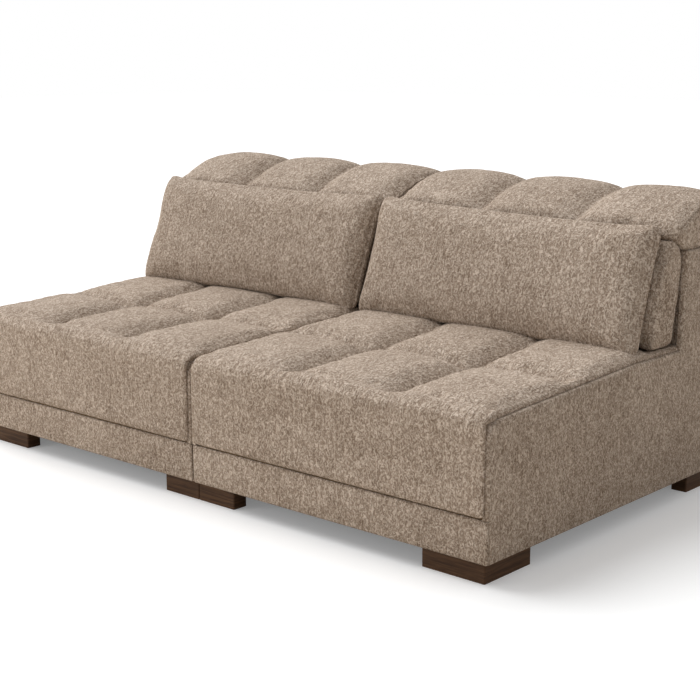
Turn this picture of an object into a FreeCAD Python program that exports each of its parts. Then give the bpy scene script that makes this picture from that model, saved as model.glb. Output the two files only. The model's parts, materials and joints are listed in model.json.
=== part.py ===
import FreeCAD, Part
import math
import os
import Sketcher
from FreeCAD import Placement, Rotation, Vector

# An armless lounge sofa of two joined modules, each with a tufted seat, a leaning back pad,
# a headrest that flips up on ratchet hinges and a loose lumbar pillow.
# Frame: X across the modules, Y from front to back, Z up, origin on the floor below the middle.
# Depths are measured back from the front of the seat, heights up from the floor, all in mm.

SIZES = {
    # Modules
    "module_width": 1000,
    "module_depth": 1200,
    "module_seam": 0.6,
    # Legs and their bolts
    "leg_height": 55,
    "leg_inset": 24,
    "leg_thickness": 48,
    "corner_leg_arm": 188,
    "block_leg_length": 138,
    "leg_edge_radius": 4,
    "bolt_radius": 4,
    "bolt_head_radius": 8,
    "bolt_head_height": 5,
    "bolt_recess": 14,
    "bolt_engagement": 45,
    "bolt_clearance": 0.1,
    # Seat frame
    "cover_thickness": 1,
    "cover_margin": 18,
    "rail_thickness": 30,
    "rail_height": 175,
    "stretcher_width": 40,
    "stretcher_height": 100,
    "corner_block_side": 70,
    "corner_block_height": 60,
    # Upholstered panels
    "panel_thickness": 16,
    "plinth_recess": 10,
    "plinth_top": 163,
    "lip_bottom": 165,
    "lip_wrap": 6,
    "side_front_height": 404,
    "side_rear_height": 436,
    "side_rise_depth": 650,
    "side_front_slope": 28,
    "side_front_drop": 14,
    "upright_lean": 13,
    # Seat suspension
    "spring_count": 5,
    "spring_wire": 4,
    "spring_run": 30,
    "spring_bend": 16,
    "spring_tail": 34,
    "clip_width": 18,
    "clip_length": 20,
    "clip_wall": 1.5,
    "wire_clearance": 0.1,
    "felt_thickness": 6,
    # Back frame
    "back_front": 890,
    "back_top": 697,
    "post_depth": 60,
    "deck_thickness": 25,
    "lumbar_rail_bottom": 440,
    "lumbar_rail_height": 60,
    "strap_count": 5,
    "strap_width": 60,
    "strap_thickness": 1.6,
    # Seat cushion
    "soft_clearance": 0.3,
    "seat_rear_clearance": 3,
    "seat_tuft_depth": 24,
    "seat_line_fade": 80,
    "seat_crown_rise": 18,
    "seat_front_round": 40,
    "seat_front_drop": 34,
    "sewn_row": 385,
    "sewn_depth": 9,
    # Back pad
    "pad_end_inset": 28,
    "pad_foot_front": 745,
    "pad_foot_drop": 251.7,
    "pad_lean": 15.6,
    "pad_top_drop": 33,
    "pad_round": 40,
    "pad_crown": 6,
    "pad_end_draw": 16,
    # Headrest
    "pivot_rise": 2,
    "pivot_lead": 2,
    "headrest_lift": 1.5,
    "headrest_end_gap": 2,
    "nose_radius": 77,
    "nose_clearance": 1.5,
    "shoulder_setback": -8,
    "shoulder_rise": 99,
    "shoulder_bulge": 5,
    "crest_setback": 222,
    "crest_rise": 159,
    "crest_bulge": 16,
    "tail_rise": 71,
    "tail_bulge": 22,
    "tail_margin": 3,
    "channel_count": 3,
    "channel_depth": 15,
    # Headrest board and ratchet hinges
    "board_thickness": 12,
    "board_front": 16,
    "board_rear": 270,
    "hinge_plate": 4,
    "hinge_play": 0.6,
    "hinge_boss": 14,
    "hinge_slot": 56,
    "stud_radius": 5,
    "stud_play": 0.06,
    "bracket_foot": 120,
    "bracket_width": 44,
    "arm_reach": 120,
    # Lumbar pillow
    "pillow_width": 962,
    "pillow_height": 338,
    "pillow_foot": 706,
    "pillow_lean": 14,
    "pillow_front_crown": 58,
    "pillow_rear_crown": 31,
    "pillow_edge": 9,
    "pillow_draw": 10,
    # Links that hold the modules together
    "link_front": 300,
    "link_rear": 900,
    "link_width": 50,
    "link_reach": 60,
    "link_depth": 16,
    "tongue_width": 30,
    "tongue_thickness": 4,
    "tongue_clearance": 0.3,
}

BOLT_LINE = 0.75
BOLT_SPREAD = 3.5
TONGUE_REACH = 0.75
NOSE_LOWER_ANGLE = 214
NOSE_UPPER_ANGLE = 150
LINE_START = 0.55
ROW_STEPS = (0, 0.07, 0.2, 0.5, 0.8, 0.93)
CHANNEL_STEPS = (0, 0.08, 0.25, 0.5, 0.75, 0.92)
PAD_TOP_DRAW = 0.25
PAD_TOE = 0.7
PAD_CORNER_BOW = 0.2
PAD_STATIONS = ((-1, 1), (-0.965, 0.3), (-0.88, 0), (0.88, 0), (0.965, 0.3), (1, 1))
PILLOW_SHOULDER = 0.24
PILLOW_ROUNDNESS = 0.2
PILLOW_END_FULLNESS = 0.08
PILLOW_CORNER = 0.94
PILLOW_STATIONS = (-1, -0.97, -0.9, -0.72, -0.4, 0, 0.4, 0.72, 0.9, 0.97, 1)


class Size:
    """A length that keeps its sheet formula beside its present value."""

    def __init__(self, formula, value):
        self.formula = formula
        self.value = value

    def __float__(self):
        return float(self.value)

    def __neg__(self):
        return Size(f"(-{self.formula})", -self.value)

    def __add__(self, other):
        other = as_size(other)
        return Size(f"({self.formula} + {other.formula})", self.value + other.value)

    def __sub__(self, other):
        other = as_size(other)
        return Size(f"({self.formula} - {other.formula})", self.value - other.value)

    def __mul__(self, other):
        other = as_size(other)
        return Size(f"({self.formula} * {other.formula})", self.value * other.value)

    def __truediv__(self, other):
        other = as_size(other)
        return Size(f"({self.formula} / {other.formula})", self.value / other.value)

    def __radd__(self, other):
        return as_size(other) + self

    def __rsub__(self, other):
        return as_size(other) - self

    def __rmul__(self, other):
        return as_size(other) * self


def as_size(value):
    """Turn a bare number into a size."""
    if isinstance(value, Size):
        return value
    return Size(f"({value})", value)


doc = FreeCAD.newDocument("LoungeSofa")
sheet = doc.addObject("Spreadsheet::Sheet", "Sizes")
for row, (alias, amount) in enumerate(SIZES.items(), start=1):
    sheet.set(f"A{row}", str(amount))
    sheet.setAlias(f"A{row}", alias)
doc.recompute()


def size(alias):
    """Read one driving dimension back from the sheet."""
    return Size(f"Sizes.{alias}", float(sheet.get(alias)))


def bind(item, prop, amount):
    """Tie a property to the sheet."""
    item.setExpression(prop, as_size(amount).formula)


def block(name, low, high):
    """Add a box between two opposite corners."""
    item = doc.addObject("Part::Box", name)
    for prop, axis, start, end in zip(("Length", "Width", "Height"), "xyz", low, high):
        bind(item, prop, end - start)
        bind(item, f"Placement.Base.{axis}", start)
    return item


def upright_pin(name, x, y, bottom, top, radius):
    """Add a cylinder standing along Z."""
    item = doc.addObject("Part::Cylinder", name)
    bind(item, "Radius", radius)
    bind(item, "Height", top - bottom)
    for axis, place in zip("xyz", (x, y, bottom)):
        bind(item, f"Placement.Base.{axis}", place)
    return item


def group(name, members):
    """Gather separate solids in one sub-part."""
    item = doc.addObject("Part::Compound", name)
    item.Links = members
    return item


def fuse(name, members):
    """Join overlapping or touching shapes into one."""
    item = doc.addObject("Part::MultiFuse", name)
    item.Shapes = members
    item.Refine = True
    return item


def cut(name, base, tools):
    """Cut tools out of a shape."""
    item = doc.addObject("Part::Cut", name)
    item.Base = base
    item.Tool = tools[0] if len(tools) == 1 else group(f"{name}_tools", tools)
    return item


def feature(name, shape):
    """Add a shape that is worked out here."""
    item = doc.addObject("Part::Feature", name)
    item.Shape = shape
    return item


def body_at(name, x, y, z, turn=0):
    """Start a body at a place, turned about Z by a number of degrees."""
    item = doc.addObject("PartDesign::Body", name)
    item.Placement = Placement(Vector(), Rotation(Vector(0, 0, 1), turn))
    for axis, place in zip("xyz", (x, y, z)):
        bind(item, f"Placement.Base.{axis}", place)
    return item


def sketch_on(body, role):
    """Start a sketch on one of the body's own planes."""
    plane = next(item for item in body.Origin.OriginFeatures if item.Role == role)
    drawing = body.newObject("Sketcher::SketchObject", f"{body.Name}_sketch")
    drawing.AttachmentSupport = [(plane, "")]
    drawing.MapMode = "FlatFace"
    return drawing


def pin_point(drawing, element, end, u, v):
    """Hold a point of a sketch at sizes from the sketch's origin."""
    for kind, axis, amount in (("DistanceX", -2, as_size(u)), ("DistanceY", -1, as_size(v))):
        if float(amount) == 0:
            drawing.addConstraint(Sketcher.Constraint("PointOnObject", element, end, axis))
            continue
        rule = Sketcher.Constraint(kind, -1, 1, element, end, float(amount))
        number = drawing.addConstraint(rule)
        drawing.setExpression(f"Constraints[{number}]", amount.formula)


def draw_outline(drawing, points):
    """Draw a closed outline of straight lines and hold its corners."""
    corners = [Vector(float(u), float(v), 0) for u, v in points]
    count = len(corners)
    for index in range(count):
        drawing.addGeometry(Part.LineSegment(corners[index], corners[(index + 1) % count]))
    for index in range(count):
        following = (index + 1) % count
        drawing.addConstraint(Sketcher.Constraint("Coincident", index, 2, following, 1))
    for index, (u, v) in enumerate(points):
        pin_point(drawing, index, 1, u, v)


def draw_circle(drawing, u, v, radius):
    """Draw a circle and hold its centre and radius."""
    centre = Vector(float(u), float(v), 0)
    number = drawing.addGeometry(Part.Circle(centre, Vector(0, 0, 1), float(radius)))
    pin_point(drawing, number, 3, u, v)
    rule = drawing.addConstraint(Sketcher.Constraint("Radius", number, float(radius)))
    drawing.setExpression(f"Constraints[{rule}]", as_size(radius).formula)


def pad(body, drawing, length, against=False):
    """Raise a sketch into a solid, along its normal or against it."""
    item = body.newObject("PartDesign::Pad", f"{body.Name}_pad")
    item.Profile = drawing
    item.Reversed = against
    bind(item, "Length", length)
    body.Tip = item
    return item


def point(x, depth, height):
    """Place a point from the front of the seat and the floor."""
    return Vector(float(x), float(depth) - float(HALF_DEPTH), float(height))


def bowed(start, end, bulge, outward):
    """Join two points by a shallow arc that bulges towards a direction."""
    middle = (start + end) * 0.5
    return Part.Arc(start, middle + outward * (bulge / outward.Length), end).toShape()


def closed_wire(edges):
    """Join edges that already run on from each other."""
    return Part.Wire(Part.__sortEdges__(edges))


def line(start, end):
    """Join two points by a straight edge."""
    return Part.LineSegment(start, end).toShape()


def ruled_loft(wires):
    """Skin a row of outlines into one solid."""
    return Part.makeLoft(wires, True, True)


HALF_DEPTH = size("module_depth") / 2
HALF_WIDTH = size("module_width") / 2
PANEL = size("panel_thickness")
RAIL = size("rail_thickness")
INNER = HALF_WIDTH - PANEL
LEG_TOP = size("leg_height")
FRAME_BOTTOM = LEG_TOP + size("cover_thickness")
RAIL_TOP = FRAME_BOTTOM + size("rail_height")
PLINTH_FRONT = size("plinth_recess") - HALF_DEPTH
FRAME_FRONT = PLINTH_FRONT + PANEL
FRAME_REAR = HALF_DEPTH - PANEL
BACK_FRONT = size("back_front") - HALF_DEPTH
BACK_TOP = size("back_top")
DECK_BOTTOM = BACK_TOP - size("deck_thickness")
CLIP_TOP = RAIL_TOP + size("spring_wire") + size("wire_clearance") * 2 + size("clip_wall")
SPRING_LEVEL = RAIL_TOP + size("wire_clearance") + size("spring_wire") / 2
FELT_TOP = CLIP_TOP + size("soft_clearance") + size("felt_thickness")
CUSHION_BOTTOM = FELT_TOP + size("soft_clearance")
PIVOT_DEPTH = size("back_front") - size("pivot_lead")
PIVOT_HEIGHT = BACK_TOP + size("pivot_rise")
PAD_BOTTOM = size("side_rear_height") + size("seat_crown_rise") - size("sewn_depth") + size("soft_clearance")


def leg_bolt_places(side, centre):
    """List the leg bolts of a module as X, Y and the corner that each belongs to."""
    near = INNER - RAIL - size("corner_block_side") / 3
    far = INNER - RAIL - size("bolt_head_radius") - size("bolt_recess") / 4
    front = size("leg_inset") + size("leg_thickness") * BOLT_LINE
    second = front + size("corner_block_side") / 2
    spread = size("bolt_head_radius") * BOLT_SPREAD
    places = []
    for end in (-1, 1):
        face = PLINTH_FRONT if end < 0 else HALF_DEPTH
        places.append((centre + side * near, face - end * front, "outer", end))
        places.append((centre + side * far, face - end * second, "outer", end))
        places.append((centre - side * near, face - end * front, "inner", end))
        places.append((centre - side * (near - spread), face - end * front, "inner", end))
    return places


def make_leg_bolts(places):
    """Lag bolts, each a shank under a flat head."""
    bolts = []
    for number, (x, y, kind, end) in enumerate(places):
        seat = size("bolt_recess")
        top = FRAME_BOTTOM + size("bolt_engagement")
        head_bottom = seat - size("bolt_head_height")
        head = upright_pin(f"bolt_head_{number}", x, y, head_bottom, seat, size("bolt_head_radius"))
        shank = upright_pin(f"bolt_shank_{number}", x, y, head_bottom, top, size("bolt_radius"))
        bolts.append(fuse(f"bolt_{number}", [head, shank]))
    return group("leg_bolts", bolts)


def bolt_holes(name, places, bottom, top):
    """Clearance cylinders for bolts, to cut from what they pass through."""
    radius = size("bolt_radius") + size("bolt_clearance")
    return [
        upright_pin(f"{name}_hole_{number}", x, y, bottom, top, radius)
        for number, (x, y, kind, end) in enumerate(places)
    ]


def finish_leg(name, body, places):
    """Round a leg's upright edges and bore it for its bolts."""
    doc.recompute()
    solid = body.Tip
    upright = [
        f"Edge{number}"
        for number, edge in enumerate(solid.Shape.Edges, start=1)
        if abs(edge.tangentAt(edge.FirstParameter).z) > 0.99
    ]
    rounding = body.newObject("PartDesign::Fillet", f"{body.Name}_rounding")
    rounding.Base = (solid, upright)
    bind(rounding, "Radius", size("leg_edge_radius"))
    body.Tip = rounding
    recesses = [
        upright_pin(f"{name}_recess_{number}", x, y, as_size(0), size("bolt_recess"),
                    size("bolt_head_radius") + size("bolt_clearance"))
        for number, (x, y, kind, end) in enumerate(places)
    ]
    return cut(name, body, bolt_holes(name, places, as_size(0), LEG_TOP) + recesses)


def make_corner_leg(name, side, centre, end, places):
    """An outer foot: two boards that meet at the corner."""
    thickness, arm = size("leg_thickness"), size("corner_leg_arm")
    turn = {(1, -1): 90, (1, 1): 180, (-1, 1): 270, (-1, -1): 0}[side, end]
    face = PLINTH_FRONT if end < 0 else HALF_DEPTH
    corner_x = centre + side * (HALF_WIDTH - size("leg_inset"))
    body = body_at(f"{name}_body", corner_x, face - end * size("leg_inset"), as_size(0), turn)
    drawing = sketch_on(body, "XY_Plane")
    zero = as_size(0)
    draw_outline(drawing, [
        (zero, zero), (arm, zero), (arm, thickness),
        (thickness, thickness), (thickness, arm), (zero, arm),
    ])
    pad(body, drawing, LEG_TOP)
    return finish_leg(name, body, places)


def make_block_leg(name, side, centre, end, places):
    """An inner foot: one straight board that stands beside its neighbour's."""
    face = PLINTH_FRONT if end < 0 else HALF_DEPTH
    front = face - end * size("leg_inset")
    low_y = front if end < 0 else front - size("leg_thickness")
    seam_x = centre - side * HALF_WIDTH
    low_x = seam_x if side > 0 else seam_x - size("block_leg_length")
    body = body_at(f"{name}_body", low_x, low_y, as_size(0))
    drawing = sketch_on(body, "XY_Plane")
    zero, length, thickness = as_size(0), size("block_leg_length"), size("leg_thickness")
    draw_outline(drawing, [(zero, zero), (length, zero), (length, thickness), (zero, thickness)])
    pad(body, drawing, LEG_TOP)
    return finish_leg(name, body, places)


def make_seat_frame(label, centre, places):
    """Hardwood rails, stretcher and corner blocks of one module's seat."""
    front_rail = block(f"{label}_front_rail",
                       (centre - INNER, FRAME_FRONT, FRAME_BOTTOM),
                       (centre + INNER, FRAME_FRONT + RAIL, RAIL_TOP))
    rear_rail = block(f"{label}_rear_rail",
                      (centre - INNER, FRAME_REAR - RAIL, FRAME_BOTTOM),
                      (centre + INNER, FRAME_REAR, RAIL_TOP))
    sides = []
    for side in (-1, 1):
        low_x = centre + side * INNER - (RAIL if side > 0 else 0)
        sides.append(block(f"{label}_side_rail_{len(sides)}",
                           (low_x, FRAME_FRONT + RAIL, FRAME_BOTTOM),
                           (low_x + RAIL, FRAME_REAR - RAIL, RAIL_TOP)))
    side_rails = group(f"{label}_side_rails", sides)
    spring_rail = block(f"{label}_spring_rail",
                        (centre - INNER + RAIL, BACK_FRONT - RAIL, FRAME_BOTTOM),
                        (centre + INNER - RAIL, BACK_FRONT, RAIL_TOP))
    half = size("stretcher_width") / 2
    stretcher = block(f"{label}_centre_stretcher",
                      (centre - half, FRAME_FRONT + RAIL, FRAME_BOTTOM),
                      (centre + half, BACK_FRONT - RAIL, FRAME_BOTTOM + size("stretcher_height")))
    width, top = size("corner_block_side"), FRAME_BOTTOM + size("corner_block_height")
    blocks = []
    for side in (-1, 1):
        low_x = centre - INNER + RAIL if side < 0 else centre + INNER - RAIL - width
        for low_y in (FRAME_FRONT + RAIL, FRAME_REAR - RAIL - width):
            blocks.append(block(f"{label}_corner_block_{len(blocks)}",
                                (low_x, low_y, FRAME_BOTTOM), (low_x + width, low_y + width, top)))
    solid_blocks = group(f"{label}_corner_blocks_solid", blocks)
    corner_blocks = cut(f"{label}_corner_blocks", solid_blocks,
                        bolt_holes(f"{label}_block", places, FRAME_BOTTOM, top))
    return [front_rail, rear_rail, side_rails, spring_rail, stretcher, corner_blocks]


def make_dust_cover(label, centre, places):
    """The cloth under the frame, held between the legs and the rails."""
    margin = size("cover_margin")
    cloth = block(f"{label}_dust_cloth",
                  (centre - HALF_WIDTH + margin, PLINTH_FRONT + margin, LEG_TOP),
                  (centre + HALF_WIDTH - margin, HALF_DEPTH - margin, FRAME_BOTTOM))
    return cut(f"{label}_dust_cover", cloth, bolt_holes(f"{label}_cover", places, LEG_TOP, FRAME_BOTTOM))


def spring_places(centre):
    """List where a module's springs run, across its width."""
    count = int(float(size("spring_count")))
    pitch = (INNER - RAIL) * 2 / count
    return [centre + pitch * (number - (count - 1) / 2) for number in range(count)]


def make_springs(label, centre):
    """Zigzag wire springs from the front rail to the spring rail."""
    bend, half_run = float(size("spring_bend")), float(size("spring_run")) / 2
    tail, level = float(size("spring_tail")), float(SPRING_LEVEL)
    start = float(FRAME_FRONT + RAIL / 4)
    end = float(BACK_FRONT - RAIL / 4)
    turns = int((end - start - 2 * tail - 2 * bend) // (2 * bend))
    spare = (end - start - 2 * bend * (turns + 1)) / 2
    springs = []
    for place in spring_places(centre):
        x = float(place)
        y = start + spare
        edges = [line(Vector(x, start, level), Vector(x, y, level))]
        side = 1
        slant = bend * math.sqrt(0.5)
        edges.append(Part.Arc(Vector(x, y, level),
                              Vector(x + side * (bend - slant), y + slant, level),
                              Vector(x + side * bend, y + bend, level)).toShape())
        y += bend
        here = x + side * bend
        for number in range(turns):
            there = x + side * (half_run + bend)
            edges.append(line(Vector(here, y, level), Vector(there, y, level)))
            edges.append(Part.Arc(Vector(there, y, level), Vector(there + side * bend, y + bend, level),
                                  Vector(there, y + 2 * bend, level)).toShape())
            here, y, side = there, y + 2 * bend, -side
        there = x - side * bend
        edges.append(line(Vector(here, y, level), Vector(there, y, level)))
        edges.append(Part.Arc(Vector(there, y, level),
                              Vector(x - side * (bend - slant), y + bend - slant, level),
                              Vector(x, y + bend, level)).toShape())
        edges.append(line(Vector(x, y + bend, level), Vector(x, end, level)))
        wire_radius = float(size("spring_wire")) / 2
        ring = Part.Wire(Part.makeCircle(wire_radius, Vector(x, start, level), Vector(0, 1, 0)))
        springs.append(Part.Wire(edges).makePipeShell([ring], True, False))
    return feature(f"{label}_seat_springs", Part.makeCompound(springs))


def make_spring_clips(places):
    """Steel saddles that hold the springs' ends on the rails."""
    clips = []
    half, length = size("clip_width") / 2, size("clip_length")
    bore = size("spring_wire") / 2 + size("wire_clearance")
    for place in places:
        for middle in (FRAME_FRONT + RAIL / 2, BACK_FRONT - RAIL / 2):
            name = f"spring_clip_{len(clips)}"
            low_y, high_y = middle - length / 2, middle + length / 2
            saddle = block(f"{name}_saddle", (place - half, low_y, RAIL_TOP),
                           (place + half, high_y, CLIP_TOP))
            groove = block(f"{name}_groove", (place - bore, low_y, RAIL_TOP),
                           (place + bore, high_y, CLIP_TOP - size("clip_wall")))
            clips.append(cut(name, saddle, [groove]))
    return group("spring_clips", clips)


def make_felt(label, centre):
    """The pad that keeps the springs out of the foam."""
    half = INNER - RAIL
    return block(f"{label}_spring_felt",
                 (centre - half, FRAME_FRONT + size("soft_clearance"), CLIP_TOP + size("soft_clearance")),
                 (centre + half, BACK_FRONT - size("seat_rear_clearance"), FELT_TOP))


def make_panels(label, side, centre):
    """The upholstered boards round the module: plinth, two sides and back."""
    plinth = block(f"{label}_plinth_panel",
                   (centre - INNER, PLINTH_FRONT, FRAME_BOTTOM),
                   (centre + INNER, FRAME_FRONT, size("plinth_top")))
    back_panel = block(f"{label}_back_panel",
                       (centre - HALF_WIDTH, FRAME_REAR, FRAME_BOTTOM),
                       (centre + HALF_WIDTH, HALF_DEPTH, BACK_TOP))
    panels = [plinth, back_panel]
    for kind, face in (("outer", side), ("inner", -side)):
        low_x = centre + face * HALF_WIDTH - (PANEL if face > 0 else 0)
        panels.append(make_side_panel(f"{label}_{kind}_side_panel", low_x))
    return panels


def make_side_panel(name, low_x):
    """One continuous board beside the seat and up the back, with a rounded seat front."""
    zero = as_size(0)
    front = size("lip_wrap")
    step = size("plinth_recess") - front
    rear = size("module_depth") - PANEL - front
    upright = size("back_front") - front
    slope, drop = size("side_front_slope"), size("side_front_drop")
    body = body_at(name, low_x, front - HALF_DEPTH, FRAME_BOTTOM)
    drawing = sketch_on(body, "YZ_Plane")
    draw_outline(drawing, [
        (step, zero),
        (rear, zero),
        (rear, BACK_TOP - FRAME_BOTTOM),
        (upright, BACK_TOP - FRAME_BOTTOM),
        (upright - size("upright_lean"), size("side_rear_height") - FRAME_BOTTOM),
        (slope, size("side_front_height") - FRAME_BOTTOM),
        (zero, size("side_front_height") - drop * 2 - FRAME_BOTTOM),
        (zero, size("lip_bottom") - FRAME_BOTTOM),
        (step, size("lip_bottom") - FRAME_BOTTOM),
    ])
    pad(body, drawing, PANEL)
    return body


def seat_edge_height(depth):
    """Height of the seat's side edge, which rises towards the back."""
    start, end = float(size("side_front_height")), float(size("side_rear_height"))
    share = min(1, depth / float(size("side_rise_depth")))
    return start + (end - start) * share - front_drop(depth)


def front_drop(depth):
    """How far the waterfall front has fallen at a depth."""
    reach = float(size("seat_front_round"))
    if depth >= reach:
        return 0.0
    share = 1 - depth / reach
    return float(size("seat_front_drop")) * (1 - math.sqrt(1 - share * share))


def seat_rows():
    """List the depths of the seat's cross lines, front and rear ends included."""
    rear = float(size("back_front") - size("seat_rear_clearance"))
    pitch = float(size("sewn_row"))
    return [0.0, pitch, 2 * pitch, rear]


def seat_fullness(depth):
    """How full the tufts stand at a depth: 1 between cross lines, 0 on them and under the back pad."""
    lines = seat_rows()
    if depth >= lines[-2]:
        return 0.0
    row = int(depth // lines[1])
    share = depth / lines[1] - row
    if row == 0 and share < 0.5:
        return 1 - (1 - share) ** 8
    return 1 - abs(2 * share - 1) ** 4


def seat_crown_height(depth):
    """Height of the top of the tufts at a depth."""
    sunk = float(size("sewn_depth")) * (1 - seat_fullness(depth))
    return seat_edge_height(depth) + float(size("seat_crown_rise")) - sunk


def seat_valley_height(depth):
    """Height of the sewn lines between the columns, which are shallow over the front and under the back pad."""
    share = min(1, LINE_START + (1 - LINE_START) * depth / float(size("seat_line_fade")))
    if depth >= seat_rows()[-2]:
        share = LINE_START
    top = seat_edge_height(depth) + float(size("seat_crown_rise"))
    return top - float(size("seat_tuft_depth")) * share


def make_seat_cushion(label, centre):
    """The tufted seat: columns and rows of sewn squares over a rounded front with a hanging lip."""
    half = float(INNER - size("soft_clearance"))
    third = float(HALF_WIDTH) * 2 / 3 / 2
    bottom = float(CUSHION_BOTTOM)
    middle_x = float(centre)
    lines = seat_rows()
    depths = [start + (end - start) * share for start, end in zip(lines, lines[1:-1]) for share in ROW_STEPS]
    wires = []
    for depth in depths + lines[-2:]:
        edge = seat_edge_height(depth)
        valley = seat_valley_height(depth)
        crown = seat_crown_height(depth)
        top = [(half, edge), ((half + third) / 2, crown), (third, valley), (0, crown),
               (-third, valley), (-(half + third) / 2, crown), (-half, edge)]
        marks = [point(middle_x + x, depth, z) for x, z in top]
        low_left = point(middle_x - half, depth, bottom)
        low_right = point(middle_x + half, depth, bottom)
        edges = [line(low_left, low_right), line(low_right, marks[0])]
        edges += [Part.Arc(*marks[first:first + 3]).toShape() for first in (0, 2, 4)]
        edges.append(line(marks[6], low_left))
        wires.append(Part.Wire(edges))
    lip_bottom = float(size("lip_bottom"))
    lip_depth = float(size("plinth_recess") + PANEL - size("soft_clearance"))
    lip = Part.makeBox(2 * half, lip_depth, bottom - lip_bottom, point(middle_x - half, 0, lip_bottom))
    return feature(f"{label}_seat_cushion", ruled_loft(wires).fuse(lip).removeSplitter())


def make_back_frame(label, centre):
    """Posts, deck, lumbar rail and webbing that carry the back pad and the headrest."""
    posts = []
    for side in (-1, 1):
        low_x = centre + side * INNER - (RAIL if side > 0 else 0)
        posts.append(block(f"{label}_post_{len(posts)}", (low_x, BACK_FRONT, RAIL_TOP),
                           (low_x + RAIL, BACK_FRONT + size("post_depth"), DECK_BOTTOM)))
    deck_board = block(f"{label}_deck_board", (centre - INNER, BACK_FRONT, DECK_BOTTOM),
                       (centre + INNER, FRAME_REAR, BACK_TOP))
    notches = []
    room = size("hinge_boss") + size("hinge_play") + size("pivot_lead")
    for side in (-1, 1):
        outer = centre + side * (INNER - RAIL + size("hinge_play"))
        inner = outer - side * (size("hinge_plate") * 2 + size("hinge_play") * 6 + size("stud_radius"))
        low_x, high_x = (inner, outer) if side > 0 else (outer, inner)
        notches.append(block(f"{label}_deck_notch_{len(notches)}", (low_x, BACK_FRONT, DECK_BOTTOM),
                             (high_x, BACK_FRONT + room, BACK_TOP)))
    deck = cut(f"{label}_back_deck", deck_board, notches)
    bottom = size("lumbar_rail_bottom")
    lumbar_rail = block(f"{label}_lumbar_rail", (centre - INNER + RAIL, BACK_FRONT, bottom),
                        (centre + INNER - RAIL, BACK_FRONT + RAIL, bottom + size("lumbar_rail_height")))
    count = int(float(size("strap_count")))
    pitch = (INNER - RAIL * 2) * 2 / count
    straps = []
    for number in range(count):
        low_x = centre + pitch * (number - (count - 1) / 2) - size("strap_width") / 2
        straps.append(block(f"{label}_strap_{number}",
                            (low_x, BACK_FRONT - size("strap_thickness"), bottom),
                            (low_x + size("strap_width"), BACK_FRONT, BACK_TOP - size("strap_thickness"))))
    return [group(f"{label}_back_posts", posts), deck, lumbar_rail, group(f"{label}_back_webbing", straps)]


def polar(x, radius, angle):
    """Place a point round the headrest's pivot, with angles from straight back and up."""
    turn = math.radians(angle)
    depth = float(PIVOT_DEPTH) + radius * math.cos(turn)
    return point(x, depth, float(PIVOT_HEIGHT) + radius * math.sin(turn))


def pad_section(x, draw):
    """Outline of the back pad at x, drawn in by draw, with a hollow for the headrest's nose."""
    bottom = float(PAD_BOTTOM) + draw / 2
    top = float(BACK_TOP - size("pad_top_drop"))
    foot_level = float(BACK_TOP - size("pad_foot_drop"))
    rounding = float(size("pad_round"))
    lean = math.tan(math.radians(float(size("pad_lean"))))
    rear_foot = float(size("back_front") - size("upright_lean") - size("soft_clearance")) - draw / 4
    hollow = float(size("nose_radius") + size("nose_clearance"))

    def front(height):
        drawn = draw * (PAD_TOP_DRAW + (1 - PAD_TOP_DRAW) * (top - height) / (top - bottom))
        return float(size("pad_foot_front")) + (height - foot_level) * lean + drawn

    rear_top = float(PIVOT_DEPTH) - 2 * float(size("soft_clearance"))
    low_angle = 270 - math.degrees(math.asin((float(PIVOT_DEPTH) - rear_top) / hollow))
    high_angle = 180 + math.degrees(math.asin((float(PIVOT_HEIGHT) - top) / hollow))
    hollow_rear = polar(x, hollow, low_angle)
    hollow_middle = polar(x, hollow, (low_angle + high_angle) / 2)
    hollow_front = polar(x, hollow, high_angle)
    lip = point(x, front(top), top)
    brow = point(x, front(bottom + rounding), bottom + rounding)
    toe = point(x, front(bottom) + rounding * PAD_TOE, bottom)
    heel = point(x, rear_foot - rounding, bottom)
    calf = point(x, rear_foot, bottom + rounding)
    forward, down, back = Vector(0, -1, 0), Vector(0, -1, -1), Vector(0, 1, -1)
    corner = PAD_CORNER_BOW * rounding
    edges = [
        line(toe, heel),
        bowed(heel, calf, corner, back),
        line(calf, hollow_rear),
        Part.Arc(hollow_rear, hollow_middle, hollow_front).toShape(),
        line(hollow_front, lip),
        bowed(lip, brow, float(size("pad_crown")), forward),
        bowed(brow, toe, corner, down),
    ]
    return Part.Wire(edges)


def make_back_pad(label, centre):
    """The leaning back pad, crowned across and drawn in at its ends."""
    half = float(HALF_WIDTH - size("pad_end_inset"))
    draw = float(size("pad_end_draw"))
    wires = [pad_section(float(centre) + half * share, draw * amount) for share, amount in PAD_STATIONS]
    return feature(f"{label}_back_pad", ruled_loft(wires))


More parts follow.
